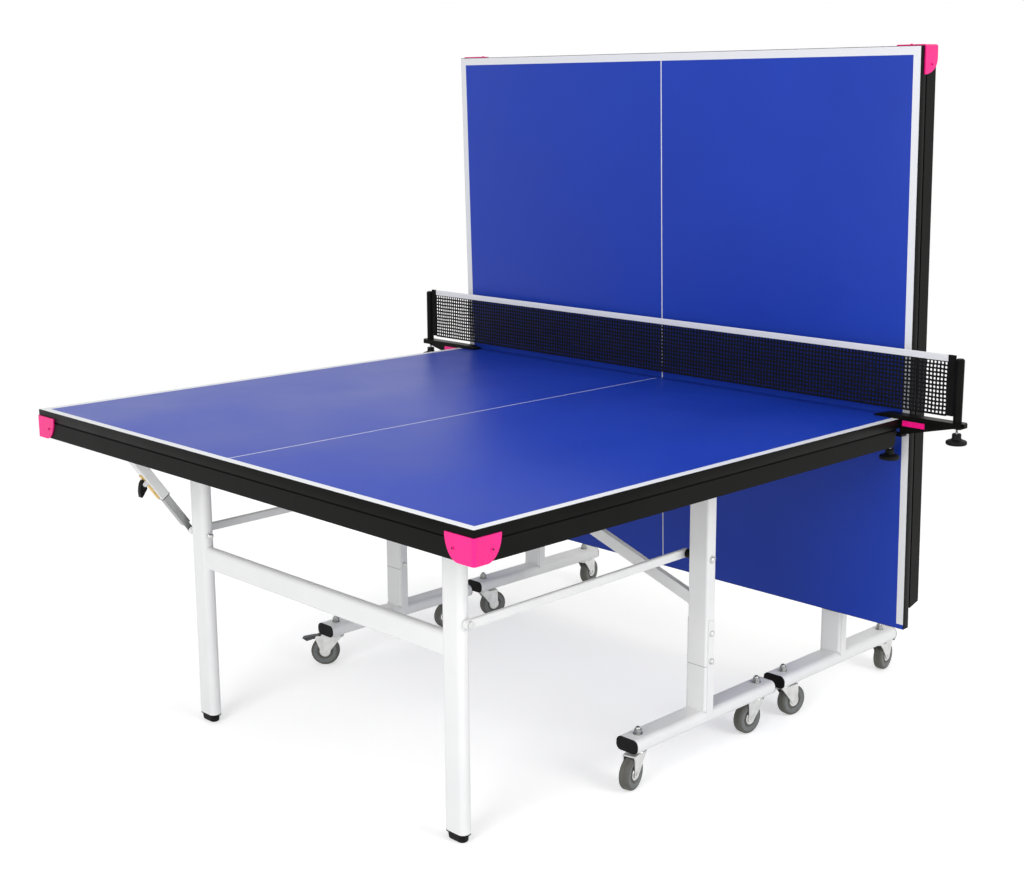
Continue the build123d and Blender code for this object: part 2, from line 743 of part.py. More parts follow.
def clamp_pad(side):
    top = board_bottom - side_gap
    low = top - clamp_pad_height
    pad = bar_z(clamp_pad_radius, side * clamp_x, net_y, (low, top))
    socket = bar_z(clamp_tip_radius + running_gap, side * clamp_x, net_y, (low, low + clamp_tip_length))
    return pad - socket


def clamp_screw(side):
    pad_low = board_bottom - side_gap - clamp_pad_height
    knob_top = jaw_top - jaw_thickness - clamp_thread_below
    screw = bar_z(clamp_screw_radius, 0, 0, (knob_top, pad_low - side_gap))
    screw += bar_z(clamp_tip_radius, 0, 0, (pad_low - side_gap, pad_low + clamp_tip_length - side_gap))
    return Pos(side * clamp_x, net_y, 0) * (screw + knob(knob_top))


def height_screw(side):
    knob_top = post_seat - height_screw_below
    screw = bar_z(height_screw_radius, 0, 0, (knob_top, post_seat + height_screw_in))
    return Pos(side * post_x, net_y, 0) * (screw + knob(knob_top))


def turn_about(spot, degrees):
    return Pos(*spot) * Rot(degrees, 0, 0) * Pos(*(-spot))


def fold_places():
    # Where each body of a unit goes when the unit is folded upright
    top = turn_about(trolley_pivot, -fold_angle)
    lift = link_span.rotate(Axis.X, -fold_angle)
    legs = Pos(*(link_span - lift))
    links = turn_about(link_pivot, -fold_angle)
    tube_place = top * turn_about(strut_pivot, strut_turn)
    along = (link_leg_pivot - strut_pivot).normalized() * strut_travel
    return {
        "top": top,
        "legs": legs,
        "links": links,
        "trolley": Pos(0, 0, 0),
        "strut": tube_place,
        "rod": tube_place * Pos(*along),
    }


unit_pieces = [
    ("board", "top", board),
    ("aprons", "top", aprons),
    ("corner_caps", "top", corner_caps),
    ("pivot_brackets", "top", pivot_brackets),
    ("top_bolts", "top", top_bolts),
    ("leg_frame", "legs", leg_frame),
    ("leg_feet", "legs", leg_feet),
    ("link_bars", "links", link_bars),
    ("link_bolts", "links", link_bolts),
    ("trolley_frame", "trolley", trolley_frame),
    ("trolley_feet", "trolley", trolley_feet),
    ("beam_caps", "trolley", beam_caps),
    ("trolley_bolts", "trolley", trolley_bolts),
    ("strut_tube", "strut", strut_outer),
    ("strut_rod", "rod", strut_rod),
    ("strut_trigger", "strut", strut_trigger),
]
far_base = Pos(0, far_pivot_from_net - pivot_from_net, 0) * Rot(0, 0, 180)


def castor_place(spot, swivels):
    return Pos(*castor_spots[spot], 0) * Rot(0, 0, swivels[spot])


def castor_pieces(prefix, base, swivels):
    pieces = {}
    for spot in castor_spots:
        place = base * castor_place(spot, swivels)
        pieces[f"{prefix}_fork_{spot}"] = place * fork(spot == braked_castor)
        pieces[f"{prefix}_wheel_{spot}"] = place * wheel()
    pieces[f"{prefix}_brake_pedal"] = base * castor_place(braked_castor, swivels) * brake_pedal()
    return pieces


def all_pieces():
    pieces = {}
    folded = fold_places()
    for name, body, make in unit_pieces:
        shape = make()
        pieces[f"near_{name}"] = shape
        pieces[f"far_{name}"] = far_base * folded[body] * shape
    pieces.update(castor_pieces("near", Pos(0, 0, 0), near_swivels))
    pieces.update(castor_pieces("far", far_base, far_swivels))
    pieces.update({"net_mesh": net_mesh(), "net_tape": net_tape(), "net_sleeves": net_sleeves()})
    pieces["net_brackets"] = net_brackets()
    for name, side in (("left", -1), ("right", 1)):
        pieces[f"clamp_pad_{name}"] = clamp_pad(side)
        pieces[f"clamp_screw_{name}"] = clamp_screw(side)
        pieces[f"height_screw_{name}"] = height_screw(side)
    return pieces


# The origin is on the floor, under the middle of the whole table's box
pieces = all_pieces()
boxes = [shape.bounding_box() for shape in pieces.values()]
middle_y = (min(b.min.Y for b in boxes) + max(b.max.Y for b in boxes)) / 2
to_origin = Pos(0, -middle_y, 0)
os.makedirs("parts", exist_ok=True)
for name, shape in pieces.items():
    export_step(to_origin * shape, f"parts/{name}.step")
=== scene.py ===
import json
import math

import bmesh
import bpy
from mathutils import Matrix, Vector


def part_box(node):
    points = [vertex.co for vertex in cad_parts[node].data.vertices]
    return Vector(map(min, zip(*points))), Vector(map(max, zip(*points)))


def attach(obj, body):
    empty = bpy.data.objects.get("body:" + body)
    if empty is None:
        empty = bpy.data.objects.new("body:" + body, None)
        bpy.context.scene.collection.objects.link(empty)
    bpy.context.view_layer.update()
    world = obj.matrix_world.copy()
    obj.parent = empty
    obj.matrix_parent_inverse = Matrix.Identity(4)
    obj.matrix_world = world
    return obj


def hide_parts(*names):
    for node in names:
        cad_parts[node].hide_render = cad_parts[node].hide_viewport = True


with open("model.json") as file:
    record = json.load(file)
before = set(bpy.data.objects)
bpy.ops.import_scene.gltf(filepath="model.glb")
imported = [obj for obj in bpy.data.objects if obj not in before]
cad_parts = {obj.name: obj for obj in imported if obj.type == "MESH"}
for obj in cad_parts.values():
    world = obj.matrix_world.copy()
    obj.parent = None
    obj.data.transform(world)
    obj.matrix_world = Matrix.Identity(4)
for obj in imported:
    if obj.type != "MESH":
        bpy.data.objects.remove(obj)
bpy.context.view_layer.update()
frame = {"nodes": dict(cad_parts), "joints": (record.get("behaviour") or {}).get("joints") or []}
nodes = frame["nodes"]
joints = {joint["name"]: joint for joint in frame["joints"]}
boardLow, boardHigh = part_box("near_board")
netEdge = boardHigh.y  # the near half's net edge, which near places are measured from
units = ("near", "far")
castorSpots = ("right_front", "right_rear", "left_front", "left_rear")
print("frame loaded:", len(nodes), "nodes")


# Where a place on the near half lies on the folded far half, body by body
def pivotOf(name):
    return Vector(joints[name]["pos_m"])


def carried(pivot, turn):
    here = Matrix.Translation(-pivotOf("near_" + pivot))
    return Matrix.Translation(pivotOf("far_" + pivot)) @ turn @ here


foldTurn = math.radians(joints["near_fold"]["range_deg"][1])
strutTurn = -math.radians(joints["near_strut_fold"]["range_deg"][0])
halfTurn = Matrix.Rotation(math.pi, 4, "Z")
foldedTurn = halfTurn @ Matrix.Rotation(-foldTurn, 4, "X")
farPlaces = {
    "trolley": carried("fold", halfTurn),
    "top": carried("fold", foldedTurn),
    "legs": carried("legs_fold", halfTurn),
    "links": carried("links_fold", foldedTurn),
    "strut": carried("strut_fold", halfTurn @ Matrix.Rotation(strutTurn - foldTurn, 4, "X")),
}


def placeOf(unit, body):
    return Matrix.Identity(4) if unit == "near" else farPlaces[body]


# Shader helpers
def addNode(tree, kind, inputs=None, **settings):
    node = tree.nodes.new(kind)
    for key, value in settings.items():
        setattr(node, key, value)
    for key, value in (inputs or {}).items():
        node.inputs[key].default_value = value
    return node


def newGroup(name, kind, sockets):
    tree = bpy.data.node_groups.new(name, kind)
    for label, way, socketKind, value in sockets:
        socket = tree.interface.new_socket(label, in_out=way, socket_type=socketKind)
        if value is not None:
            socket.default_value = value
    return tree, tree.nodes.new("NodeGroupInput"), tree.nodes.new("NodeGroupOutput")


def feed(tree, sockets, values):
    # Sets each socket to its number, or links it to the socket given
    for socket, value in zip(sockets, values):
        if isinstance(value, (int, float)):
            socket.default_value = value
        else:
            tree.links.new(value, socket)


def mathNode(tree, operation, first, second):
    node = addNode(tree, "ShaderNodeMath", operation=operation)
    feed(tree, node.inputs, (first, second))
    return node.outputs[0]


def grainGroup():
    # Noise over the surface, spread between two values
    tree, start, end = newGroup("surfaceGrain", "ShaderNodeTree", [
        ("Coords", "INPUT", "NodeSocketVector", None),
        ("Scale", "INPUT", "NodeSocketFloat", 200.0),
        ("Low", "INPUT", "NodeSocketFloat", 0.0),
        ("High", "INPUT", "NodeSocketFloat", 1.0),
        ("Value", "OUTPUT", "NodeSocketFloat", None),
    ])
    noise = addNode(tree, "ShaderNodeTexNoise", {"Detail": 3.0, "Roughness": 0.55})
    spread = addNode(tree, "ShaderNodeMapRange", {"From Min": 0.3, "From Max": 0.7})
    link = tree.links.new
    link(start.outputs["Coords"], noise.inputs["Vector"])
    link(start.outputs["Scale"], noise.inputs["Scale"])
    link(noise.outputs["Fac"], spread.inputs["Value"])
    link(start.outputs["Low"], spread.inputs["To Min"])
    link(start.outputs["High"], spread.inputs["To Max"])
    link(spread.outputs["Result"], end.inputs["Value"])
    return tree


def dustGroup():
    # A thin film of dust that settles on faces that look up
    tree, start, end = newGroup("settledDust", "ShaderNodeTree", [
        ("Coords", "INPUT", "NodeSocketVector", None),
        ("Color", "INPUT", "NodeSocketColor", (0.5, 0.5, 0.5, 1)),
        ("Dust", "INPUT", "NodeSocketColor", (0.55, 0.53, 0.5, 1)),
        ("Amount", "INPUT", "NodeSocketFloat", 0.05),
        ("Color", "OUTPUT", "NodeSocketColor", None),
    ])
    facing = addNode(tree, "ShaderNodeNewGeometry")
    split = addNode(tree, "ShaderNodeSeparateXYZ")
    level = addNode(tree, "ShaderNodeMapRange", {"From Min": 0.2, "From Max": 1.0})
    noise = addNode(tree, "ShaderNodeTexNoise", {"Scale": 14.0, "Detail": 5.0})
    mix = addNode(tree, "ShaderNodeMix", data_type="RGBA")
    link = tree.links.new
    link(facing.outputs["Normal"], split.inputs[0])
    link(split.outputs["Z"], level.inputs["Value"])
    link(start.outputs["Coords"], noise.inputs["Vector"])
    patch = mathNode(tree, "MULTIPLY", level.outputs["Result"], noise.outputs["Fac"])
    link(mathNode(tree, "MULTIPLY", patch, start.outputs["Amount"]), mix.inputs["Factor"])
    link(start.outputs["Color"], mix.inputs["A"])
    link(start.outputs["Dust"], mix.inputs["B"])
    link(mix.outputs["Result"], end.inputs["Color"])
    return tree


surfaceGrain = grainGroup()
settledDust = dustGroup()


def newMaterial(name, plain):
    material = bpy.data.materials.new(name)
    material.use_nodes = True
    shader = material.node_tree.nodes["Principled BSDF"]
    for key, value in plain.items():
        shader.inputs[key].default_value = value
    return material, material.node_tree, shader


def placeGroup(tree, group, coords, values):
    node = addNode(tree, "ShaderNodeGroup", node_tree=group)
    for key, value in values.items():
        node.inputs[key].default_value = value
    tree.links.new(coords, node.inputs["Coords"])
    return node


def coordsOf(tree):
    return tree.nodes.new("ShaderNodeTexCoord").outputs["Object"]


def grainyFinish(tree, shader, coords, look):
    # Roughness that varies gently, and a fine bump
    rough = placeGroup(tree, surfaceGrain, coords, {
        "Scale": look["patchScale"], "Low": look["roughLow"], "High": look["roughHigh"]})
    tree.links.new(rough.outputs["Value"], shader.inputs["Roughness"])
    grain = placeGroup(tree, surfaceGrain, coords, {"Scale": look["grainScale"]})
    bump = addNode(tree, "ShaderNodeBump", {"Strength": look["bump"], "Distance": look["depth"]})
    tree.links.new(grain.outputs["Value"], bump.inputs["Height"])
    tree.links.new(bump.outputs["Normal"], shader.inputs["Normal"])


def shadedColor(tree, coords, look):
    # The base colour drifts a little from place to place
    drift = placeGroup(tree, surfaceGrain, coords, {"Scale": look["patchScale"]})
    mix = addNode(tree, "ShaderNodeMix", {"A": look["dark"], "B": look["light"]}, data_type="RGBA")
    tree.links.new(drift.outputs["Value"], mix.inputs["Factor"])
    return mix.outputs["Result"]


def paintedMaterial(name, look, plain=None):
    material, tree, shader = newMaterial(name, plain or {})
    coords = coordsOf(tree)
    dusty = placeGroup(tree, settledDust, coords, {"Amount": look["dust"]})
    tree.links.new(shadedColor(tree, coords, look), dusty.inputs["Color"])
    tree.links.new(dusty.outputs["Color"], shader.inputs["Base Color"])
    grainyFinish(tree, shader, coords, look)
    return material


whitePowder = paintedMaterial("whitePowder", {
    "dark": (0.78, 0.785, 0.79, 1), "light": (0.83, 0.832, 0.835, 1), "patchScale": 6.0,
    "roughLow": 0.36, "roughHigh": 0.46, "grainScale": 900.0, "bump": 0.12, "depth": 0.0002, "dust": 0.03})
satinBlack = paintedMaterial("satinBlack", {
    "dark": (0.0028, 0.0027, 0.0024, 1), "light": (0.0046, 0.0045, 0.004, 1), "patchScale": 9.0,
    "roughLow": 0.32, "roughHigh": 0.44, "grainScale": 1100.0, "bump": 0.1, "depth": 0.0002, "dust": 0.003},
    {"Specular IOR Level": 0.07})
mouldedBlack = paintedMaterial("mouldedBlack", {
    "dark": (0.0045, 0.0045, 0.0046, 1), "light": (0.0075, 0.0075, 0.0076, 1), "patchScale": 30.0,
    "roughLow": 0.42, "roughHigh": 0.58, "grainScale": 1600.0, "bump": 0.25, "depth": 0.00025, "dust": 0.008},
    {"Specular IOR Level": 0.11})
mouldedDark = paintedMaterial("mouldedDark", {
    "dark": (0.045, 0.047, 0.05, 1), "light": (0.06, 0.062, 0.066, 1), "patchScale": 40.0,
    "roughLow": 0.42, "roughHigh": 0.55, "grainScale": 1600.0, "bump": 0.25, "depth": 0.00025, "dust": 0.03},
    {"Specular IOR Level": 0.3})
pinkGloss = paintedMaterial("pinkGloss", {
    "dark": (0.84, 0.006, 0.21, 1), "light": (0.9, 0.008, 0.24, 1), "patchScale": 18.0,
    "roughLow": 0.24, "roughHigh": 0.34, "grainScale": 700.0, "bump": 0.06, "depth": 0.0002, "dust": 0.01},
    {"Specular IOR Level": 0.35})
zincPlate = paintedMaterial("zincPlate", {
    "dark": (0.56, 0.565, 0.56, 1), "light": (0.72, 0.72, 0.7, 1), "patchScale": 60.0,
    "roughLow": 0.24, "roughHigh": 0.4, "grainScale": 900.0, "bump": 0.12, "depth": 0.0002, "dust": 0.02},
    {"Metallic": 1.0})
agedZinc = paintedMaterial("agedZinc", {
    "dark": (0.32, 0.325, 0.32, 1), "light": (0.37, 0.375, 0.37, 1), "patchScale": 90.0,
    "roughLow": 0.22, "roughHigh": 0.38, "grainScale": 900.0, "bump": 0.12, "depth": 0.0002, "dust": 0.0},
    {"Metallic": 1.0})
yellowZinc = paintedMaterial("yellowZinc", {
    "dark": (0.62, 0.4, 0.1, 1), "light": (0.78, 0.56, 0.2, 1), "patchScale": 90.0,
    "roughLow": 0.26, "roughHigh": 0.42, "grainScale": 900.0, "bump": 0.12, "depth": 0.0002, "dust": 0.0},
    {"Metallic": 1.0})
tyreGrey = paintedMaterial("tyreGrey", {
    "dark": (0.076, 0.075, 0.066, 1), "light": (0.108, 0.107, 0.096, 1), "patchScale": 55.0,
    "roughLow": 0.6, "roughHigh": 0.78, "grainScale": 1500.0, "bump": 0.3, "depth": 0.0003, "dust": 0.08})
tyreRim = paintedMaterial("tyreRim", {
    "dark": (0.118, 0.126, 0.124, 1), "light": (0.16, 0.17, 0.168, 1), "patchScale": 55.0,
    "roughLow": 0.5, "roughHigh": 0.65, "grainScale": 1500.0, "bump": 0.2, "depth": 0.0003, "dust": 0.05})
rubberBlack = paintedMaterial("rubberBlack", {
    "dark": (0.008, 0.008, 0.008, 1), "light": (0.014, 0.014, 0.014, 1), "patchScale": 70.0,
    "roughLow": 0.65, "roughHigh": 0.8, "grainScale": 1500.0, "bump": 0.3, "depth": 0.0003, "dust": 0.03},
    {"Specular IOR Level": 0.25})
sealedUnderside = paintedMaterial("sealedUnderside", {
    "dark": (0.34, 0.33, 0.315, 1), "light": (0.42, 0.41, 0.39, 1), "patchScale": 5.0,
    "roughLow": 0.55, "roughHigh": 0.7, "grainScale": 350.0, "bump": 0.2, "depth": 0.0004, "dust": 0.0},
    {"Specular IOR Level": 0.3})


courtLines = {"sideLine": 0.020, "centreLine": 0.003, "sideStop": 0.012, "centreStop": 0.018,
              "halfWidth": boardHigh.x, "halfLength": boardHigh.y - boardLow.y}


def boardMaterial(look):
    # Blue lacquer with the white court lines, from the board's own map in metres
    material, tree, shader = newMaterial("blueLacquer", {"Specular IOR Level": 0.24})
    coords = coordsOf(tree)
    board = addNode(tree, "ShaderNodeUVMap", uv_map="boardMap")
    split = addNode(tree, "ShaderNodeSeparateXYZ")
    tree.links.new(board.outputs["UV"], split.inputs[0])
    across = mathNode(tree, "ABSOLUTE", split.outputs["X"], 0)
    along = split.outputs["Y"]
    side = mathNode(tree, "GREATER_THAN", across, courtLines["halfWidth"] - courtLines["sideLine"])
    started = mathNode(tree, "GREATER_THAN", along, courtLines["sideStop"])
    side = mathNode(tree, "MULTIPLY", side, started)
    end = mathNode(tree, "GREATER_THAN", along, courtLines["halfLength"] - courtLines["sideLine"])
    centre = mathNode(tree, "LESS_THAN", across, courtLines["centreLine"] / 2)
    started = mathNode(tree, "GREATER_THAN", along, courtLines["centreStop"])
    centre = mathNode(tree, "MULTIPLY", centre, started)
    lines = mathNode(tree, "MAXIMUM", mathNode(tree, "MAXIMUM", side, end), centre)
    mix = addNode(tree, "ShaderNodeMix", {"B": look["line"]}, data_type="RGBA")
    tree.links.new(lines, mix.inputs["Factor"])
    tree.links.new(shadedColor(tree, coords, look), mix.inputs["A"])
    tree.links.new(mix.outputs["Result"], shader.inputs["Base Color"])
    grainyFinish(tree, shader, coords, look)
    return material


blueLacquer = boardMaterial({
    "dark": (0.0066, 0.0375, 0.36, 1), "light": (0.0082, 0.0425, 0.395, 1), "line": (0.74, 0.75, 0.77, 1),
    "patchScale": 3.0, "roughLow": 0.36, "roughHigh": 0.44, "grainScale": 1400.0, "bump": 0.18,
    "depth": 0.00025})


def clothMaterial(name, look, plain):
    # A plain weave of fine threads, over the piece's own map in metres
    material, tree, shader = newMaterial(name, plain)
    cloth = addNode(tree, "ShaderNodeUVMap", uv_map="clothMap").outputs["UV"]
    threads = []
    for direction in ("X", "Y"):
        wave = addNode(tree, "ShaderNodeTexWave", bands_direction=direction,
                       inputs={"Scale": look["threads"], "Distortion": 0.6, "Detail": 2.0})
        tree.links.new(cloth, wave.inputs["Vector"])
        threads.append(wave.outputs["Fac"])
    weave = mathNode(tree, "MULTIPLY", threads[0], threads[1])
    mix = addNode(tree, "ShaderNodeMix", {"A": look["dark"], "B": look["light"]}, data_type="RGBA")
    tree.links.new(weave, mix.inputs["Factor"])
    tree.links.new(mix.outputs["Result"], shader.inputs["Base Color"])
    rough = placeGroup(tree, surfaceGrain, coordsOf(tree), {
        "Scale": 120.0, "Low": look["roughLow"], "High": look["roughHigh"]})
    tree.links.new(rough.outputs["Value"], shader.inputs["Roughness"])
    bump = addNode(tree, "ShaderNodeBump", {"Strength": 0.4, "Distance": 0.0003})
    tree.links.new(weave, bump.inputs["Height"])
    tree.links.new(bump.outputs["Normal"], shader.inputs["Normal"])
    return material


tapeCotton = clothMaterial("tapeCotton", {
    "dark": (0.66, 0.66, 0.68, 1), "light": (0.84, 0.84, 0.85, 1), "threads": 220.0,
    "roughLow": 0.75, "roughHigh": 0.9}, {"Sheen Weight": 0.25, "Sheen Roughness": 0.5})
sleeveCloth = clothMaterial("sleeveCloth", {
    "dark": (0.003, 0.003, 0.003, 1), "light": (0.0075, 0.0074, 0.0068, 1), "threads": 220.0,
    "roughLow": 0.7, "roughHigh": 0.9}, {"Specular IOR Level": 0.1})
netNylon = paintedMaterial("netNylon", {
    "dark": (0.0025, 0.0025, 0.003, 1), "light": (0.006, 0.006, 0.0075, 1), "patchScale": 200.0,
    "roughLow": 0.6, "roughHigh": 0.8, "grainScale": 2500.0, "bump": 0.5, "depth": 0.0002, "dust": 0.0},
    {"Specular IOR Level": 0.12})
print("materials made:", len(bpy.data.materials))


cadFinishes = {
    "aprons": satinBlack, "corner_caps": pinkGloss, "pivot_brackets": zincPlate, "top_bolts": zincPlate,
    "leg_frame": whitePowder, "leg_feet": mouldedBlack, "link_bars": whitePowder, "link_bolts": zincPlate,
    "trolley_frame": whitePowder, "trolley_feet": whitePowder, "beam_caps": mouldedBlack,
    "trolley_bolts": zincPlate, "strut_tube": whitePowder, "strut_rod": agedZinc,
    "strut_trigger": mouldedBlack, "brake_pedal": mouldedDark,
}
netFinishes = {"net_brackets": satinBlack, "clamp_pad_left": rubberBlack, "clamp_pad_right": rubberBlack}


def finishNode(name, material):
    materials = nodes[name].data.materials
    materials.clear()
    materials.append(material)


for unit in units:
    for piece, finish in cadFinishes.items():
        finishNode(f"{unit}_{piece}", finish)
    for spot in castorSpots:
        finishNode(f"{unit}_fork_{spot}", zincPlate)
for piece, finish in netFinishes.items():
    finishNode(piece, finish)
print("CAD pieces finished")


# Mesh helpers
def meshFrom(bm, name, outward=True):
    if outward:
        bmesh.ops.recalc_face_normals(bm, faces=bm.faces)
    mesh = bpy.data.meshes.new(name)
    bm.to_mesh(mesh)
    bm.free()
    return mesh


def smoothMesh(mesh, degrees=35):
    mesh.shade_smooth()
    mesh.set_sharp_from_angle(angle=math.radians(degrees))


def addPiece(name, mesh, body, materials=(), replaced=()):
    piece = bpy.data.objects.new(name, mesh)
    bpy.context.scene.collection.objects.link(piece)
    for material in materials:
        mesh.materials.append(material)
    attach(piece, body)
    if replaced:
        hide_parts(*replaced)
    return piece


def lathe(name, profile, steps=48, finishes=None):
    # Turns (radius, height) points round Z, and finishes gives each band's material number
    bm = bmesh.new()
    rings = []
    for radius, height in profile:
        count = steps if radius > 0 else 1
        turns = [2 * math.pi * i / steps for i in range(count)]
        rings.append([bm.verts.new((radius * math.cos(t), radius * math.sin(t), height)) for t in turns])
    for band, (low, high) in enumerate(zip(rings, rings[1:])):
        for i in range(steps):
            j = (i + 1) % steps
            corners = (low[i % len(low)], low[j % len(low)], high[j % len(high)], high[i % len(high)])
            face = bm.faces.new(dict.fromkeys(corners))
            face.material_index = finishes[band] if finishes else 0
    mesh = meshFrom(bm, name)
    smoothMesh(mesh)
    return mesh


def arcPoints(centre, radius, start, stop, steps):
    # Points on an arc in the (radius, height) plane, angles in degrees from the radius axis
    angles = [math.radians(start + (stop - start) * i / steps) for i in range(steps + 1)]
    return [(centre[0] + radius * math.cos(a), centre[1] + radius * math.sin(a)) for a in angles]


def roundedOutline(halfX, halfY, corner):
    # A rectangle with round corners, about the origin
    centres = ((halfX - corner, halfY - corner, 0), (corner - halfX, halfY - corner, 90),
               (corner - halfX, corner - halfY, 180), (halfX - corner, corner - halfY, 270))
    return [point for x, y, a in centres for point in arcPoints((x, y), corner, a, a + 90, 5)]


def skin(bm, low, high):
    # Four-cornered faces between two rings with the same count of points
    return [bm.faces.new(corners) for corners in zip(low, low[1:] + low[:1], high[1:] + high[:1], high)]


def joinMeshes(name, meshes):
    bm = bmesh.new()
    for mesh in meshes:
        bm.from_mesh(mesh)
        bpy.data.meshes.remove(mesh)
    return meshFrom(bm, name, outward=False)


def bothSpans(ends):
    # A span along X on the left of the table, and the same on the right
    return (-ends[1], -ends[0]), ends


# Playing boards
boardShape = {"edgeRound": 0.0012, "edgeSteps": 3}


def boardMesh(name):
    bm = bmesh.new()
    size = boardHigh - boardLow
    middle = (boardHigh + boardLow) / 2
    bmesh.ops.create_cube(bm, size=1, matrix=Matrix.Translation(middle) @ Matrix.Diagonal((*size, 1)))
    bmesh.ops.bevel(bm, geom=bm.edges[:], offset=boardShape["edgeRound"], segments=boardShape["edgeSteps"],
                    affect="EDGES", profile=0.5)
    boardMap = bm.loops.layers.uv.new("boardMap")
    for face in bm.faces:
        face.normal_update()
        flat = abs(face.normal.z) > 0.999
        face.material_index = (0 if face.normal.z > 0 else 2) if flat else 1
        for loop in face.loops:
            loop[boardMap].uv = (loop.vert.co.x, netEdge - loop.vert.co.y)
    mesh = meshFrom(bm, name)
    smoothMesh(mesh)
    return mesh


for unit in units:
    mesh = boardMesh(f"{unit}PlayingBoard")
    mesh.transform(placeOf(unit, "top"))
    addPiece(f"{unit}PlayingBoard", mesh, f"{unit}_top",
             (blueLacquer, satinBlack, sealedUnderside), [f"{unit}_board"])
print("boards made")


# Geometry Nodes helpers
def geometryTree(name, sockets):
    both = [("Geometry", "INPUT", "NodeSocketGeometry", None), *sockets,
            ("Geometry", "OUTPUT", "NodeSocketGeometry", None)]
    return newGroup(name, "GeometryNodeTree", both)


def runTree(name, mesh, tree, values):
    # Runs a tree on a mesh and gives back the plain mesh that comes out
    holder = bpy.data.objects.new(name, mesh)
    bpy.context.scene.collection.objects.link(holder)
    modifier = holder.modifiers.new("pattern", "NODES")
    modifier.node_group = tree
    for item in tree.interface.items_tree:
        if item.in_out == "INPUT" and item.name in values:
            modifier[item.identifier] = values[item.name]
    evaluated = holder.evaluated_get(bpy.context.evaluated_depsgraph_get())
    result = bpy.data.meshes.new_from_object(evaluated)
    bpy.data.objects.remove(holder)
    result.name = name
    return result


def pointMesh(name, spots):
    # Points with the way each one faces
    mesh = bpy.data.meshes.new(name)
    mesh.from_pydata([spot for spot, way in spots], [], [])
    facing = mesh.attributes.new("facing", "FLOAT_VECTOR", "POINT")
    facing.data.foreach_set("vector", [c for spot, way in spots for c in way])
    return mesh


def vectorNode(tree, x, y, z):
    node = addNode(tree, "ShaderNodeCombineXYZ")
    feed(tree, node.inputs, (x, y, z))
    return node.outputs[0]


def sizeInputs(sizes):
    return [(label, "INPUT", "NodeSocketFloat", value) for label, value in sizes.items()]


def endTree(tree, end, geometry, material):
    # Every tree ends in real geometry with its material
    real = addNode(tree, "GeometryNodeRealizeInstances")
    paint = addNode(tree, "GeometryNodeSetMaterial", {"Material": material})
    tree.links.new(geometry, real.inputs["Geometry"])
    tree.links.new(real.outputs["Geometry"], paint.inputs["Geometry"])
    tree.links.new(paint.outputs["Geometry"], end.inputs["Geometry"])


def boltTree(material):
    # A washer, a head with any number of sides and a dome, standing on each point
    tree, start, end = geometryTree("boltHeads", [("Head Sides", "INPUT", "NodeSocketInt", 6)] + sizeInputs({
        "Washer Radius": 0.008, "Washer Height": 0.001, "Head Radius": 0.006, "Head Height": 0.004,
        "Dome Radius": 0.005, "Dome Height": 0.003}))
    link = tree.links.new
    values = start.outputs
    join = addNode(tree, "GeometryNodeJoinGeometry")
    foot = 0
    for layer, sides in (("Washer", 32), ("Head", values["Head Sides"])):
        height = values[f"{layer} Height"]
        prism = addNode(tree, "GeometryNodeMeshCylinder")
        feed(tree, [prism.inputs[key] for key in ("Vertices", "Radius", "Depth")],
             (sides, values[f"{layer} Radius"], height))
        moved = addNode(tree, "GeometryNodeTransform")
        link(prism.outputs["Mesh"], moved.inputs["Geometry"])
        middle = mathNode(tree, "ADD", mathNode(tree, "MULTIPLY", height, 0.5), foot)
        link(vectorNode(tree, 0, 0, middle), moved.inputs["Translation"])
        link(moved.outputs["Geometry"], join.inputs["Geometry"])
        foot = mathNode(tree, "ADD", height, foot)
    ball = addNode(tree, "GeometryNodeMeshUVSphere", {"Segments": 24, "Rings": 12, "Radius": 1.0})
    dome = addNode(tree, "GeometryNodeTransform")
    link(ball.outputs["Mesh"], dome.inputs["Geometry"])
    link(vectorNode(tree, 0, 0, foot), dome.inputs["Translation"])
    domeSize = vectorNode(tree, values["Dome Radius"], values["Dome Radius"], values["Dome Height"])
    link(domeSize, dome.inputs["Scale"])
    link(dome.outputs["Geometry"], join.inputs["Geometry"])
    facing = addNode(tree, "GeometryNodeInputNamedAttribute", {"Name": "facing"}, data_type="FLOAT_VECTOR")
    turn = addNode(tree, "FunctionNodeAlignRotationToVector", axis="Z")
    link(facing.outputs["Attribute"], turn.inputs["Vector"])
    stand = addNode(tree, "GeometryNodeInstanceOnPoints")
    link(values["Geometry"], stand.inputs["Points"])
    link(join.outputs["Geometry"], stand.inputs["Instance"])
    link(turn.outputs["Rotation"], stand.inputs["Rotation"])
    endTree(tree, end, stand.outputs["Instances"], material)
    return tree


zincBolts = boltTree(zincPlate)
agedBolts = boltTree(agedZinc)
pinkBolts = boltTree(pinkGloss)
darkBolts = boltTree(mouldedBlack)


def bothSides(spots):
    # Adds the mirror image of each (place, way) across the table
    flipped = [(Vector((-p.x, p.y, p.z)), Vector((-d.x, d.y, d.z))) for p, d in spots]
    return spots + flipped


def addBolts(name, body, tree, sizes, spots):
    for unit in units:
        mesh = runTree(f"{unit}{name}", pointMesh("boltPoints", spots), tree, sizes)
        smoothMesh(mesh)
        mesh.transform(placeOf(unit, body))
        addPiece(f"{unit}{name}", mesh, f"{unit}_{body}")


outward, inward = Vector((1, 0, 0)), Vector((-1, 0, 0))
upward, endward = Vector((0, 0, 1)), Vector((0, -1, 0))

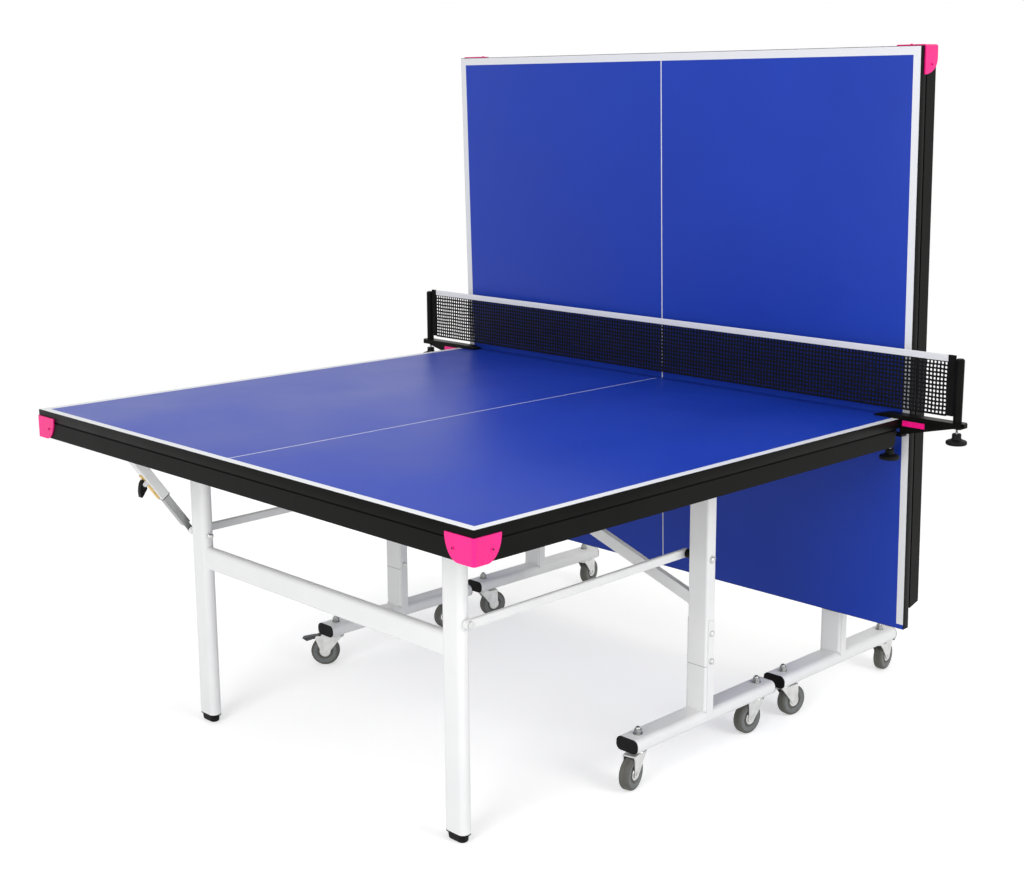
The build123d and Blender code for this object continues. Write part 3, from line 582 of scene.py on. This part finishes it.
# Where the fasteners sit on the open near half: pivots and outer faces from the frame, the rest in metres
trolleyPivot, legPivot, linkPivot = (pivotOf(f"near_{name}") for name in ("fold", "legs_fold", "links_fold"))
linkFoot = linkPivot + legPivot - trolleyPivot  # the link bars stay parallel to the board
stems = [pivotOf(f"near_swivel_right_{end}") for end in ("front", "rear")]
uprightX = stems[0].x
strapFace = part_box("near_trolley_feet")[1].x
uprightLow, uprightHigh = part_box("near_trolley_frame")
capLow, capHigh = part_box("near_corner_caps")
seats = {"beamTop": 0.118, "strapHeights": (0.302, 0.236), "headGap": 0.0003, "legFace": 0.42,
         "legEar": 0.4165, "capEndIn": 0.051, "capSideIn": 0.041, "capHeight": 0.7195}


def seatAt(x, pivot, z=None):
    return Vector((x, pivot.y, pivot.z if z is None else z))


strapBolts = {"Washer Radius": 0.0074, "Washer Height": 0.0032, "Head Radius": 0.0056, "Head Height": 0.0006,
              "Head Sides": 24, "Dome Radius": 0.0055, "Dome Height": 0.0022}
addBolts("StrapBoltHeads", "trolley", zincBolts, strapBolts, bothSides(
    [(seatAt(strapFace, trolleyPivot, z), outward) for z in seats["strapHeights"]]
    + [(seatAt(2 * uprightX - strapFace, trolleyPivot, z), inward) for z in seats["strapHeights"]]))
stemNuts = {"Washer Radius": 0.0108, "Washer Height": 0.002, "Head Radius": 0.0088, "Head Height": 0.0096,
            "Head Sides": 6, "Dome Radius": 0.0066, "Dome Height": 0.0064}
addBolts("CastorNuts", "trolley", agedBolts, stemNuts, bothSides(
    [(seatAt(stem.x, stem, seats["beamTop"]), upward) for stem in stems]))
linkHeads = {"Washer Radius": 0.0088, "Washer Height": 0.0034, "Head Radius": 0.0068, "Head Height": 0.0008,
             "Head Sides": 24, "Dome Radius": 0.0066, "Dome Height": 0.0026}
addBolts("LinkBoltHeads", "links", zincBolts, linkHeads, bothSides(
    [(seatAt(uprightHigh.x + seats["headGap"], linkPivot), outward),
     (seatAt(seats["legFace"] - seats["headGap"], linkFoot), inward)]))
pivotHeads = {"Washer Radius": 0.0104, "Washer Height": 0.0033, "Head Radius": 0.0088, "Head Height": 0.0022,
              "Head Sides": 6, "Dome Radius": 0.005, "Dome Height": 0.003}
addBolts("PivotBoltHeads", "top", zincBolts, pivotHeads, bothSides(
    [(seatAt(strapFace, trolleyPivot), outward), (seatAt(seats["legEar"], legPivot), inward)]))
capPlaces = bothSides([
    (Vector((boardHigh.x - seats["capEndIn"], capLow.y, seats["capHeight"])), endward),
    (Vector((capHigh.x, boardLow.y + seats["capSideIn"], seats["capHeight"])), outward)])
capRims = {"Washer Radius": 0.0034, "Washer Height": 0.0012, "Head Radius": 0.0029, "Head Height": 0.0005,
           "Head Sides": 24, "Dome Radius": 0.0012, "Dome Height": 0.0002}
addBolts("CapScrewRims", "top", pinkBolts, capRims, capPlaces)
capRecess = {"Washer Radius": 0.0019, "Washer Height": 0.0018, "Head Radius": 0.0012, "Head Height": 0.0001,
             "Head Sides": 6, "Dome Radius": 0.0008, "Dome Height": 0.0001}
addBolts("CapScrewRecesses", "top", darkBolts, capRecess, capPlaces)
print("bolts made")


# Castor wheels: a grey tyre on a zinc-plated hub, turned round each axle
wheelShape = {"radius": 0.0375, "halfWidth": 0.012, "tyreInner": 0.0215, "shoulder": 0.0055,
              "treadStep": 0.0009, "hubDisc": 0.0145, "hubProud": 0.0006, "hubBevel": 0.001,
              "hubEdge": 0.0008, "hubDraft": 0.0003, "dish": 0.0026, "beadIn": 0.0012, "beadDrop": 0.0006,
              "beadOut": 0.0016, "lineHalf": 0.0012, "lineFloor": 0.0004, "lineDepth": 0.0003, "steps": 72}
hubBands, sidewallBands = (0, 1, 2), (4, 5, 6)  # counted from the middle of either face


def wheelMesh(name):
    s = wheelShape
    half, shoulder, face = s["halfWidth"], s["shoulder"], s["halfWidth"] + s["hubProud"]
    floor = half - s["dish"]
    upper = [(0.0, face), (s["hubDisc"] - s["hubBevel"], face), (s["hubDisc"], face - s["hubEdge"]),
             (s["hubDisc"] + s["hubDraft"], floor), (s["tyreInner"] - s["beadIn"], floor),
             (s["tyreInner"], half - s["beadDrop"]), (s["tyreInner"] + s["beadOut"], half),
             (s["radius"] - shoulder - s["treadStep"], half)]
    upper += arcPoints((s["radius"] - shoulder, half - shoulder), shoulder, 90, 0, 8)
    upper += [(s["radius"], s["lineHalf"]), (s["radius"] - s["lineDepth"], s["lineFloor"])]
    profile = upper + [(r, -h) for r, h in reversed(upper)]
    last = len(profile) - 2
    bands = [min(i, last - i) for i in range(last + 1)]
    finishes = [1 if band in hubBands else 2 if band in sidewallBands else 0 for band in bands]
    return lathe(name, profile, s["steps"], finishes)


def axleFrame(joint):
    # Turns Z onto a wheel's axle and moves it to the axle's middle
    turn = Vector((0, 0, 1)).rotation_difference(Vector(joint["axis"])).to_matrix().to_4x4()
    return Matrix.Translation(Vector(joint["pos_m"])) @ turn


for unit in units:
    for spot in castorSpots:
        name = f"{unit}Wheel{spot.title().replace('_', '')}"
        mesh = wheelMesh(name)
        mesh.transform(axleFrame(joints[f"{unit}_roll_{spot}"]))
        addPiece(name, mesh, f"{unit}_roller_{spot}", (tyreGrey, zincPlate, tyreRim),
                 [f"{unit}_wheel_{spot}"])
print("wheels made")


# Net: black strands, a white folded tape on top, a hem cord below and cloth sleeves at the posts
netShape = {"columns": 184, "rows": 13, "strand": 0.0041, "corner": 0.0012, "thick": 0.0009, "slack": 0.0045,
            "ripple": 20.0, "seed": 4.0, "weld": 0.00005, "hemRadius": 0.0024}
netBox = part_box("net_mesh")
netEnds, netPlane = (netBox[0].x, netBox[1].x), (netBox[0].y + netBox[1].y) / 2
netLow, netHigh, tapeTop = netBox[0].z, netBox[1].z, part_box("net_tape")[1].z
netWidth, netHeight = (round(span, 5) for span in (netEnds[1] - netEnds[0], netHigh - netLow))


def netTree(material):
    # Square cells with rounded holes, joined into one sheet, shifted a little by noise and thickened
    tree, start, end = geometryTree("knittedNet", [
        ("Columns", "INPUT", "NodeSocketInt", 10), ("Rows", "INPUT", "NodeSocketInt", 10)] + sizeInputs({
            "Width": 1.0, "Height": 0.1, "Strand": 0.002, "Corner": 0.001, "Thickness": 0.001, "Slack": 0.001,
            "Ripple": 20.0, "Seed": 0.0}))
    link = tree.links.new
    values = start.outputs
    spots = addNode(tree, "GeometryNodeMeshGrid")
    outlines = addNode(tree, "GeometryNodeJoinGeometry")
    cell = addNode(tree, "GeometryNodeCurvePrimitiveQuadrilateral")
    hole = addNode(tree, "GeometryNodeCurvePrimitiveQuadrilateral")
    for size, count, axis in (("Width", "Columns", "X"), ("Height", "Rows", "Y")):
        pitch = mathNode(tree, "DIVIDE", values[size], values[count])
        link(mathNode(tree, "SUBTRACT", values[size], pitch), spots.inputs[f"Size {axis}"])
        link(values[count], spots.inputs[f"Vertices {axis}"])
        link(pitch, cell.inputs[size])
        link(mathNode(tree, "SUBTRACT", pitch, values["Strand"]), hole.inputs[size])
    rounded = addNode(tree, "GeometryNodeFilletCurve", {"Count": 1}, mode="POLY")
    link(hole.outputs["Curve"], rounded.inputs["Curve"])
    link(values["Corner"], rounded.inputs["Radius"])
    link(cell.outputs["Curve"], outlines.inputs["Geometry"])
    link(rounded.outputs["Curve"], outlines.inputs["Geometry"])
    filled = addNode(tree, "GeometryNodeFillCurve", mode="TRIANGLES")
    link(outlines.outputs["Geometry"], filled.inputs["Curve"])
    stand = addNode(tree, "GeometryNodeInstanceOnPoints")
    link(spots.outputs["Mesh"], stand.inputs["Points"])
    link(filled.outputs["Mesh"], stand.inputs["Instance"])
    real = addNode(tree, "GeometryNodeRealizeInstances")
    link(stand.outputs["Instances"], real.inputs["Geometry"])
    joined = addNode(tree, "GeometryNodeMergeByDistance", {"Distance": netShape["weld"]})
    link(real.outputs["Geometry"], joined.inputs["Geometry"])
    noise = addNode(tree, "ShaderNodeTexNoise", {"Detail": 2.0}, noise_dimensions="4D")
    link(addNode(tree, "GeometryNodeInputPosition").outputs[0], noise.inputs["Vector"])
    link(values["Ripple"], noise.inputs["Scale"])
    link(values["Seed"], noise.inputs["W"])
    centred = addNode(tree, "ShaderNodeVectorMath", {1: (0.5, 0.5, 0.5)}, operation="SUBTRACT")
    link(noise.outputs["Color"], centred.inputs[0])
    shift = addNode(tree, "ShaderNodeVectorMath", operation="SCALE")
    link(centred.outputs[0], shift.inputs[0])
    link(values["Slack"], shift.inputs["Scale"])
    moved = addNode(tree, "GeometryNodeSetPosition")
    link(joined.outputs["Geometry"], moved.inputs["Geometry"])
    link(shift.outputs[0], moved.inputs["Offset"])
    raised = addNode(tree, "GeometryNodeExtrudeMesh", {"Individual": False}, mode="FACES")
    link(moved.outputs["Geometry"], raised.inputs["Mesh"])
    link(values["Thickness"], raised.inputs["Offset Scale"])
    flipped = addNode(tree, "GeometryNodeFlipFaces")
    link(moved.outputs["Geometry"], flipped.inputs["Mesh"])
    both = addNode(tree, "GeometryNodeJoinGeometry")
    link(raised.outputs["Mesh"], both.inputs["Geometry"])
    link(flipped.outputs["Mesh"], both.inputs["Geometry"])
    closed = addNode(tree, "GeometryNodeMergeByDistance", {"Distance": netShape["weld"]})
    link(both.outputs["Geometry"], closed.inputs["Geometry"])
    endTree(tree, end, closed.outputs["Geometry"], material)
    return tree


netMesh = runTree("netMesh", bpy.data.meshes.new("netStart"), netTree(netNylon), {
    "Width": netWidth, "Height": netHeight, "Columns": netShape["columns"], "Rows": netShape["rows"],
    "Strand": netShape["strand"], "Corner": netShape["corner"], "Thickness": netShape["thick"],
    "Slack": netShape["slack"], "Ripple": netShape["ripple"], "Seed": netShape["seed"]})
smoothMesh(netMesh, 60)
netMiddle = Vector((0, netPlane + netShape["thick"] / 2, (netLow + netHigh) / 2))
netMesh.transform(Matrix.Translation(netMiddle) @ Matrix.Rotation(math.pi / 2, 4, "X"))
net = addPiece("netMesh", netMesh, "near_top", (), ["net_mesh"])


def bandMesh(name, section, ends, steps):
    # A closed (y, z) section carried along X, with a cloth map in metres
    bm = bmesh.new()
    cloth = bm.loops.layers.uv.new("clothMap")
    girth = [0.0]
    for here, there in zip(section, section[1:] + section[:1]):
        girth.append(girth[-1] + math.dist(here, there))
    xs = [ends[0] + (ends[1] - ends[0]) * i / steps for i in range(steps + 1)]
    rings = [[bm.verts.new((x, y, z)) for y, z in section] for x in xs]
    for k in range(steps):
        for i, face in enumerate(skin(bm, rings[k], rings[k + 1])):
            corners = ((xs[k], i), (xs[k], i + 1), (xs[k + 1], i + 1), (xs[k + 1], i))
            for loop, (x, place) in zip(face.loops, corners):
                loop[cloth].uv = (x, girth[place])
    for ring in (rings[0], rings[-1]):
        for loop in bm.faces.new(ring).loops:
            loop[cloth].uv = (loop.vert.co.y, loop.vert.co.z)
    mesh = meshFrom(bm, name)
    smoothMesh(mesh, 50)
    return mesh


tapeShape = {"halfThick": 0.002, "edgeThin": 0.0013, "sections": 60}
foldArc = arcPoints((netPlane, tapeTop - tapeShape["halfThick"]), tapeShape["halfThick"], 0, 180, 8)
tapeSection = [(netPlane + tapeShape["edgeThin"], netHigh), *foldArc,
               (netPlane - tapeShape["edgeThin"], netHigh)]
tape = addPiece("netTape", bandMesh("netTape", tapeSection, netEnds, tapeShape["sections"]), "near_top",
                (tapeCotton,), ["net_tape"])


def stitchTree(material):
    # Short rounded stitches laid on points, along X
    tree, start, end = geometryTree("stitchRow", sizeInputs({"Length": 0.004, "Radius": 0.0004}))
    ball = addNode(tree, "GeometryNodeMeshUVSphere", {"Segments": 6, "Rings": 4, "Radius": 1.0})
    stand = addNode(tree, "GeometryNodeInstanceOnPoints")
    tree.links.new(start.outputs["Geometry"], stand.inputs["Points"])
    tree.links.new(ball.outputs["Mesh"], stand.inputs["Instance"])
    half = mathNode(tree, "MULTIPLY", start.outputs["Length"], 0.5)
    size = vectorNode(tree, half, start.outputs["Radius"], start.outputs["Radius"])
    tree.links.new(size, stand.inputs["Scale"])
    endTree(tree, end, stand.outputs["Instances"], material)
    return tree


stitchShape = {"pitch": 0.007, "length": 0.0046, "radius": 0.00035, "above": 0.0025, "proud": 0.0001}
stitchCount = round(netWidth / stitchShape["pitch"]) - 1
stitchOut = tapeShape["edgeThin"] + stitchShape["proud"]
stitchSpots = [(Vector((netEnds[0] + stitchShape["pitch"] * (i + 1), netPlane + side * stitchOut,
                        netHigh + stitchShape["above"])), outward)
               for side in (-1, 1) for i in range(stitchCount)]
stitchMesh = runTree("tapeStitches", pointMesh("stitchPoints", stitchSpots), stitchTree(tapeCotton),
                     {"Length": stitchShape["length"], "Radius": stitchShape["radius"]})
smoothMesh(stitchMesh, 80)
stitches = addPiece("tapeStitches", stitchMesh, "near_top")

hemSection = arcPoints((netPlane, netLow), netShape["hemRadius"], 0, 324, 9)
hem = addPiece("netHem", bandMesh("netHem", hemSection, netEnds, 40), "near_top", (sleeveCloth,))


sleeveShape = {"halfThick": 0.003, "round": 0.0028, "rows": 24, "drawIn": 0.10, "ripple": 0.3, "ripples": 9,
               "narrowing": 0.06}


def sleeveMesh(name, ends):
    # A flat cloth sleeve with rounded folds, drawn in a little between its ends
    s = sleeveShape
    bm = bmesh.new()
    cloth = bm.loops.layers.uv.new("clothMap")
    middle = (ends[0] + ends[1]) / 2
    outline = roundedOutline((ends[1] - ends[0]) / 2, s["halfThick"], s["round"])
    rings = []
    for k in range(s["rows"] + 1):
        t = k / s["rows"]
        ease = 1 - s["drawIn"] * math.sin(math.pi * t) ** 2 * (1 + s["ripple"] * math.sin(s["ripples"] * t))
        width = 1 - s["narrowing"] * (1 - ease)
        z = netLow + (tapeTop - netLow) * t
        rings.append([bm.verts.new((middle + x * width, netPlane + y * ease, z)) for x, y in outline])
    for low, high in zip(rings, rings[1:]):
        skin(bm, low, high)
    for ring in (rings[0], rings[-1]):
        bm.faces.new(ring)
    for face in bm.faces:
        for loop in face.loops:
            loop[cloth].uv = (loop.vert.co.x + loop.vert.co.y, loop.vert.co.z)
    mesh = meshFrom(bm, name)
    smoothMesh(mesh, 60)
    return mesh


sleeveSpan = (netEnds[1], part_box("net_sleeves")[1].x)
sleeveMeshes = [sleeveMesh("sleevePart", span) for span in bothSpans(sleeveSpan)]
sleeves = addPiece("netSleeves", joinMeshes("netSleeves", sleeveMeshes), "near_top",
                   (sleeveCloth,), ["net_sleeves"])
print("net made:", len(netMesh.polygons), "faces")


# Mushroom knobs and their screws, under the net posts and the clamp jaws
knobShape = {"radius": 0.024, "cap": 0.012, "neckRadius": 0.0105, "neck": 0.014, "round": 0.004,
             "drop": 0.002, "neckBevel": 0.0015, "flare": 0.0015, "flareTop": 0.004, "flareLow": 0.0012,
             "hollowRim": 0.012, "hollowFloor": 0.01104, "hollowDepth": 0.0012, "steps": 56}
threadShape = {"pitch": 0.0018, "depth": 0.0005}
screwShapes = {"clamp": {"radius": 0.004, "tipRadius": 0.003, "tipLength": 0.004},
               "height": {"radius": 0.003, "tipRadius": 0.0, "tipLength": 0.0}}


def knobMesh(name, screw, length):
    # A screw above and a knob below, as one turned shape with the top of the knob at z = 0
    s, radius, neck = knobShape, screw["radius"], knobShape["neckRadius"]
    tip = [(0.0, length + screw["tipLength"])]
    if screw["tipLength"]:
        tip += [(screw["tipRadius"], length + screw["tipLength"]), (screw["tipRadius"], length)]
    turns = max(1, int(length / threadShape["pitch"]))
    pitch = length / turns
    thread = [point for k in range(turns) for point in (
        (radius, length - k * pitch), (radius - threadShape["depth"], length - (k + 0.5) * pitch))]
    capTop, capLow = -s["neck"], -s["neck"] - s["cap"]
    rim = s["radius"] - s["round"]
    knob = [(radius, 0.0), (neck - s["neckBevel"], 0.0), (neck, -s["neckBevel"]),
            (neck, capTop + s["flareTop"]), (neck + s["flare"], capTop + s["flareLow"])]
    knob += arcPoints((rim, capTop - s["drop"] - s["round"]), s["round"], 72, 0, 6)
    knob += arcPoints((rim, capLow + s["round"]), s["round"], 0, -90, 6)
    hollow = capLow + s["hollowDepth"]
    knob += [(s["hollowRim"], capLow), (s["hollowFloor"], hollow), (0.0, hollow)]
    metalBands = len(tip) + len(thread)
    profile = tip + thread + knob
    finishes = [1 if i < metalBands else 0 for i in range(len(profile) - 1)]
    return lathe(name, profile, s["steps"], finishes)


for kind, screw in screwShapes.items():
    for side in ("left", "right"):
        name, node = f"{kind}Knob{side.title()}", f"{kind}_screw_{side}"
        low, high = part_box(node)
        knobTop = low.z + knobShape["cap"] + knobShape["neck"]
        mesh = knobMesh(name, screw, high.z - knobTop - screw["tipLength"])
        axle = pivotOf(f"{kind}_turn_{side}")
        mesh.transform(Matrix.Translation(seatAt(axle.x, axle, knobTop)))
        addPiece(name, mesh, node, (mouldedBlack, zincPlate), [node])
print("knobs made")


# Small pieces of the frame: lock trigger, latch plate, a black ring of painted shade at the strut mouth,
# seams, welds, link ends, spacers and plates
def barMesh(name, section, ends, place):
    # A prism along X from (y, z) millimetres, set in its place
    mesh = bandMesh(name, [(y / 1000, z / 1000) for y, z in section], [x / 1000 for x in ends], 1)
    mesh.transform(place)
    return mesh


def plateSection(y, z):
    return [(y[0], z[0]), (y[1], z[0]), (y[1], z[1]), (y[0], z[1])]


def loopMesh(name, levels, place):
    # A closed ring round Z from rounded outlines, each level (half x, half y, corner, height) in millimetres
    bm = bmesh.new()
    rings = [[bm.verts.new((x / 1000, y / 1000, z / 1000)) for x, y in roundedOutline(halfX, halfY, corner)]
             for halfX, halfY, corner, z in levels]
    for low, high in zip(rings, rings[1:] + rings[:1]):
        skin(bm, low, high)
    mesh = meshFrom(bm, name)
    smoothMesh(mesh)
    mesh.transform(place)
    return mesh


def addSmall(name, meshes, unit, body, material, part=None, replaced=()):
    # Joins the meshes, already placed on the near half, and sets them on one unit
    whole = joinMeshes(f"{unit}{name}", meshes)
    whole.transform(placeOf(unit, part or body))
    return addPiece(f"{unit}{name}", whole, f"{unit}_{body}", (material,), replaced)


# Strut pieces in millimetres: along the strut from its lower pivot, and out from its axis
strutShape = {"triggerHalf": 6.0, "latchEnds": (124.0, 199.0), "latchOut": (12.0, 15.0), "latchHalf": 5.5,
              "leaf": [(189, 16.5), (186, 25), (180, 32), (171, 40), (161, 46), (158, 45), (159, 38),
                       (162, 31), (164, 25), (165, 21.5), (170, 19.5), (178, 17)],
              "mouthShadeEnds": (117.0, 118.9), "mouthShadeHalf": 12.2, "mouthShadeCorner": 3, "boreHalf": 9.6,
              "boreCorner": 1}
strutTop = pivotOf("near_strut_fold")
strutFoot = Vector((strutTop.x, linkFoot.y, linkFoot.z))
strutLean = math.atan2(strutFoot.y - strutTop.y, strutTop.z - strutFoot.z)
strutPlace = Matrix.Translation(strutFoot) @ Matrix.Rotation(strutLean, 4, "X")


def strutPieces():
    s = strutShape
    leaf = barMesh("leaf", [(-out, along) for along, out in s["leaf"]],
                   (-s["triggerHalf"], s["triggerHalf"]), strutPlace)
    latch = barMesh("latch", plateSection([-out for out in s["latchOut"]], s["latchEnds"]),
                    (-s["latchHalf"], s["latchHalf"]), strutPlace)
    # The thin black ring just below the strut tube's mouth is painted shade for the dark gap where the rod
    # enters the tube
    (low, high), outer, bore = s["mouthShadeEnds"], s["mouthShadeHalf"], s["boreHalf"]
    mouthShadeRing = loopMesh("mouthShadeRing", [
        (outer, outer, s["mouthShadeCorner"], low), (outer, outer, s["mouthShadeCorner"], high),
        (bore, bore, s["boreCorner"], high), (bore, bore, s["boreCorner"], low)], strutPlace)
    return leaf, latch, mouthShadeRing


# Rings round the uprights: levels are (growth over the tube, height) in millimetres
tubeShape = {"corner": 6.0, "sunk": -0.6, "seamProud": 0.15, "seamHalf": 0.4,
             "weld": [(2.4, 0.0), (2.0, 1.5), (0.7, 2.5), (-0.6, 2.6), (-0.6, 0.0)]}


def tubeLoops(levels):
    halfX = 1000 * (uprightHigh.x - uprightX)
    halfY = 500 * (uprightHigh.y - uprightLow.y)
    outlines = [(halfX + grow, halfY + grow, tubeShape["corner"] + grow, z) for grow, z in levels]
    places = [Matrix.Translation((x, trolleyPivot.y, 0)) for x in (-uprightX, uprightX)]
    return [loopMesh("ring", outlines, place) for place in places]


def seamLevels():
    proud, sunk, seam = tubeShape["seamProud"], tubeShape["sunk"], 1000 * uprightLow.z
    low, high = seam - tubeShape["seamHalf"], seam + tubeShape["seamHalf"]
    return [(proud, low), (proud, high), (sunk, high), (sunk, low)]


weldLevels = [(grow, 1000 * seats["beamTop"] + rise) for grow, rise in tubeShape["weld"]]
linkShape = {"plugRadius": 9.6, "plugEnds": (484.0, 493.0),
             "spacerRadius": 10.4, "spacerEnds": (494.6, 510.0)}


def linkDiscs(kind, pivot):
    # A disc about a pivot on each side of the table
    circle = arcPoints((0, 0), linkShape[f"{kind}Radius"], 0, 345, 23)
    place = Matrix.Translation((0, pivot.y, pivot.z))
    return [barMesh("disc", circle, span, place) for span in bothSpans(linkShape[f"{kind}Ends"])]


for unit in units:
    leaf, latch, mouthShadeRing = strutPieces()
    addSmall("StrutTrigger", [leaf], unit, "trigger", mouldedBlack, "strut",
             [f"{unit}_strut_trigger"])
    addSmall("LatchPlate", [latch], unit, "strut", yellowZinc)
    # Black ring at the strut tube's mouth: painted shade for the gap where the rod goes in
    addSmall("StrutMouthShadeRing", [mouthShadeRing], unit, "strut", mouldedBlack)
    addSmall("UprightSeams", tubeLoops(seamLevels()), unit, "trolley", mouldedDark)
    addSmall("StubWelds", tubeLoops(weldLevels), unit, "trolley", whitePowder)
    addSmall("LinkEnds", linkDiscs("plug", linkFoot), unit, "links", whitePowder)
    addSmall("LinkPlugs", linkDiscs("plug", linkPivot), unit, "links", mouldedBlack)
    addSmall("LinkSpacers", linkDiscs("spacer", linkPivot), unit, "links", mouldedBlack)


def nearSpot(x, y, z):
    # A place on the open near half, from millimetres with y measured from the net edge
    return Vector((x / 1000, netEdge + y / 1000, z / 1000))


plateShape = {"x": (769.5, 828.0), "y": (-38.6, -37.9), "z": (744.5, 757.5)}
plates = [barMesh("plate", plateSection(plateShape["y"], plateShape["z"]), span,
                  Matrix.Translation(nearSpot(0, 0, 0))) for span in bothSpans(plateShape["x"])]
addSmall("BracketPlates", plates, "near", "top", pinkGloss)
print("small pieces made")


# Camera at the photograph's place, fitted to the table's own lines
cameraFit = {"place": (2627.2, -3058.95, 1465.18), "azimuth": 43.467, "elevation": 11.4245, "roll": 0.199,
             "focalPixels": 1531.51, "centrePixel": (586.9, 416.59), "imagePixels": (1024, 873)}


def addCamera():
    azimuth, elevation, roll = (math.radians(cameraFit[k]) for k in ("azimuth", "elevation", "roll"))
    right = Vector((math.cos(azimuth), math.sin(azimuth), 0))
    back = Vector((math.sin(azimuth) * math.cos(elevation), -math.cos(azimuth) * math.cos(elevation),
                   math.sin(elevation)))
    up = back.cross(right)
    side = right * math.cos(roll) + up * math.sin(roll)
    top = up * math.cos(roll) - right * math.sin(roll)
    width, height = cameraFit["imagePixels"]
    data = bpy.data.cameras.new("photoCamera")
    data.sensor_width = 36
    data.lens = data.sensor_width * cameraFit["focalPixels"] / width
    data.shift_x = 0.5 - cameraFit["centrePixel"][0] / width
    data.shift_y = (cameraFit["centrePixel"][1] - height / 2) / width
    data.clip_end = 60
    camera = bpy.data.objects.new("photoCamera", data)
    bpy.context.scene.collection.objects.link(camera)
    turn = Matrix((side, top, back)).transposed().to_4x4()
    camera.matrix_world = Matrix.Translation(nearSpot(*cameraFit["place"])) @ turn
    bpy.context.scene.camera = camera


addCamera()


# Floor, world and lamps
stageLook = {"floorSize": 60.0, "floorColor": (0.86, 0.86, 0.86, 1), "ambient": 0.56, "floorLift": 0.42,
             "fadeStart": 1.7, "fadeEnd": 4.2}


def whiteShare(tree):
    # 1 for the rays that show the background itself, straight or in a reflection
    path = addNode(tree, "ShaderNodeLightPath")
    seen = mathNode(tree, "MAXIMUM", path.outputs["Is Camera Ray"], path.outputs["Is Glossy Ray"])
    return mathNode(tree, "MAXIMUM", seen, path.outputs["Is Transmission Ray"])


def addFloor():
    # A pale floor that keeps the shadow and goes over into the white backdrop
    bm = bmesh.new()
    bmesh.ops.create_grid(bm, x_segments=1, y_segments=1, size=stageLook["floorSize"] / 2)
    floor = bpy.data.objects.new("floor", meshFrom(bm, "floor", outward=False))
    bpy.context.scene.collection.objects.link(floor)
    material, tree, shader = newMaterial("paleFloor", {
        "Base Color": stageLook["floorColor"], "Roughness": 0.9, "Specular IOR Level": 0.1,
        "Emission Color": (1, 1, 1, 1)})
    seen = whiteShare(tree)
    lift = mathNode(tree, "MULTIPLY", seen, stageLook["floorLift"])
    tree.links.new(lift, shader.inputs["Emission Strength"])
    reach = addNode(tree, "ShaderNodeVectorMath", operation="LENGTH")
    tree.links.new(coordsOf(tree), reach.inputs[0])
    fade = addNode(tree, "ShaderNodeMapRange", interpolation_type="SMOOTHSTEP",
                   inputs={"From Min": stageLook["fadeStart"], "From Max": stageLook["fadeEnd"]})
    tree.links.new(reach.outputs["Value"], fade.inputs["Value"])
    white = addNode(tree, "ShaderNodeEmission", {"Color": (1, 1, 1, 1), "Strength": 1.0})
    mix = addNode(tree, "ShaderNodeMixShader")
    tree.links.new(mathNode(tree, "MULTIPLY", seen, fade.outputs["Result"]), mix.inputs[0])
    tree.links.new(shader.outputs["BSDF"], mix.inputs[1])
    tree.links.new(white.outputs["Emission"], mix.inputs[2])
    tree.links.new(mix.outputs["Shader"], tree.nodes["Material Output"].inputs["Surface"])
    floor.data.materials.append(material)


def addWorld():
    world = bpy.data.worlds.new("studio")
    bpy.context.scene.world = world
    world.use_nodes = True
    tree = world.node_tree
    back = tree.nodes["Background"]
    back.inputs["Color"].default_value = (1, 1, 1, 1)
    strength = addNode(tree, "ShaderNodeMapRange", {"To Min": stageLook["ambient"], "To Max": 1.0})
    tree.links.new(whiteShare(tree), strength.inputs["Value"])
    tree.links.new(strength.outputs["Result"], back.inputs["Strength"])


softLamps = {
    "keyLamp": {"place": (1.6, -5.2, 2.6), "aim": (0, 0, 0.7), "size": 3.2, "power": 140},
    "topLamp": {"place": (-0.6, -0.6, 5.2), "aim": (0, 0, 0.6), "size": 4.0, "power": 50},
    "sideLamp": {"place": (4.8, 0.4, 2.4), "aim": (0, 0, 0.7), "size": 2.6, "power": 90},
}


def addLamp(name, lamp):
    data = bpy.data.lights.new(name, "AREA")
    data.shape = "DISK"
    data.size = lamp["size"]
    data.energy = lamp["power"]
    light = bpy.data.objects.new(name, data)
    bpy.context.scene.collection.objects.link(light)
    aim = Vector(lamp["aim"]) - Vector(lamp["place"])
    light.matrix_world = Matrix.Translation(lamp["place"]) @ aim.to_track_quat("-Z", "Y").to_matrix().to_4x4()


addFloor()
addWorld()
for name, lamp in softLamps.items():
    addLamp(name, lamp)
bpy.context.scene.view_settings.view_transform = "Standard"
print("stage set")
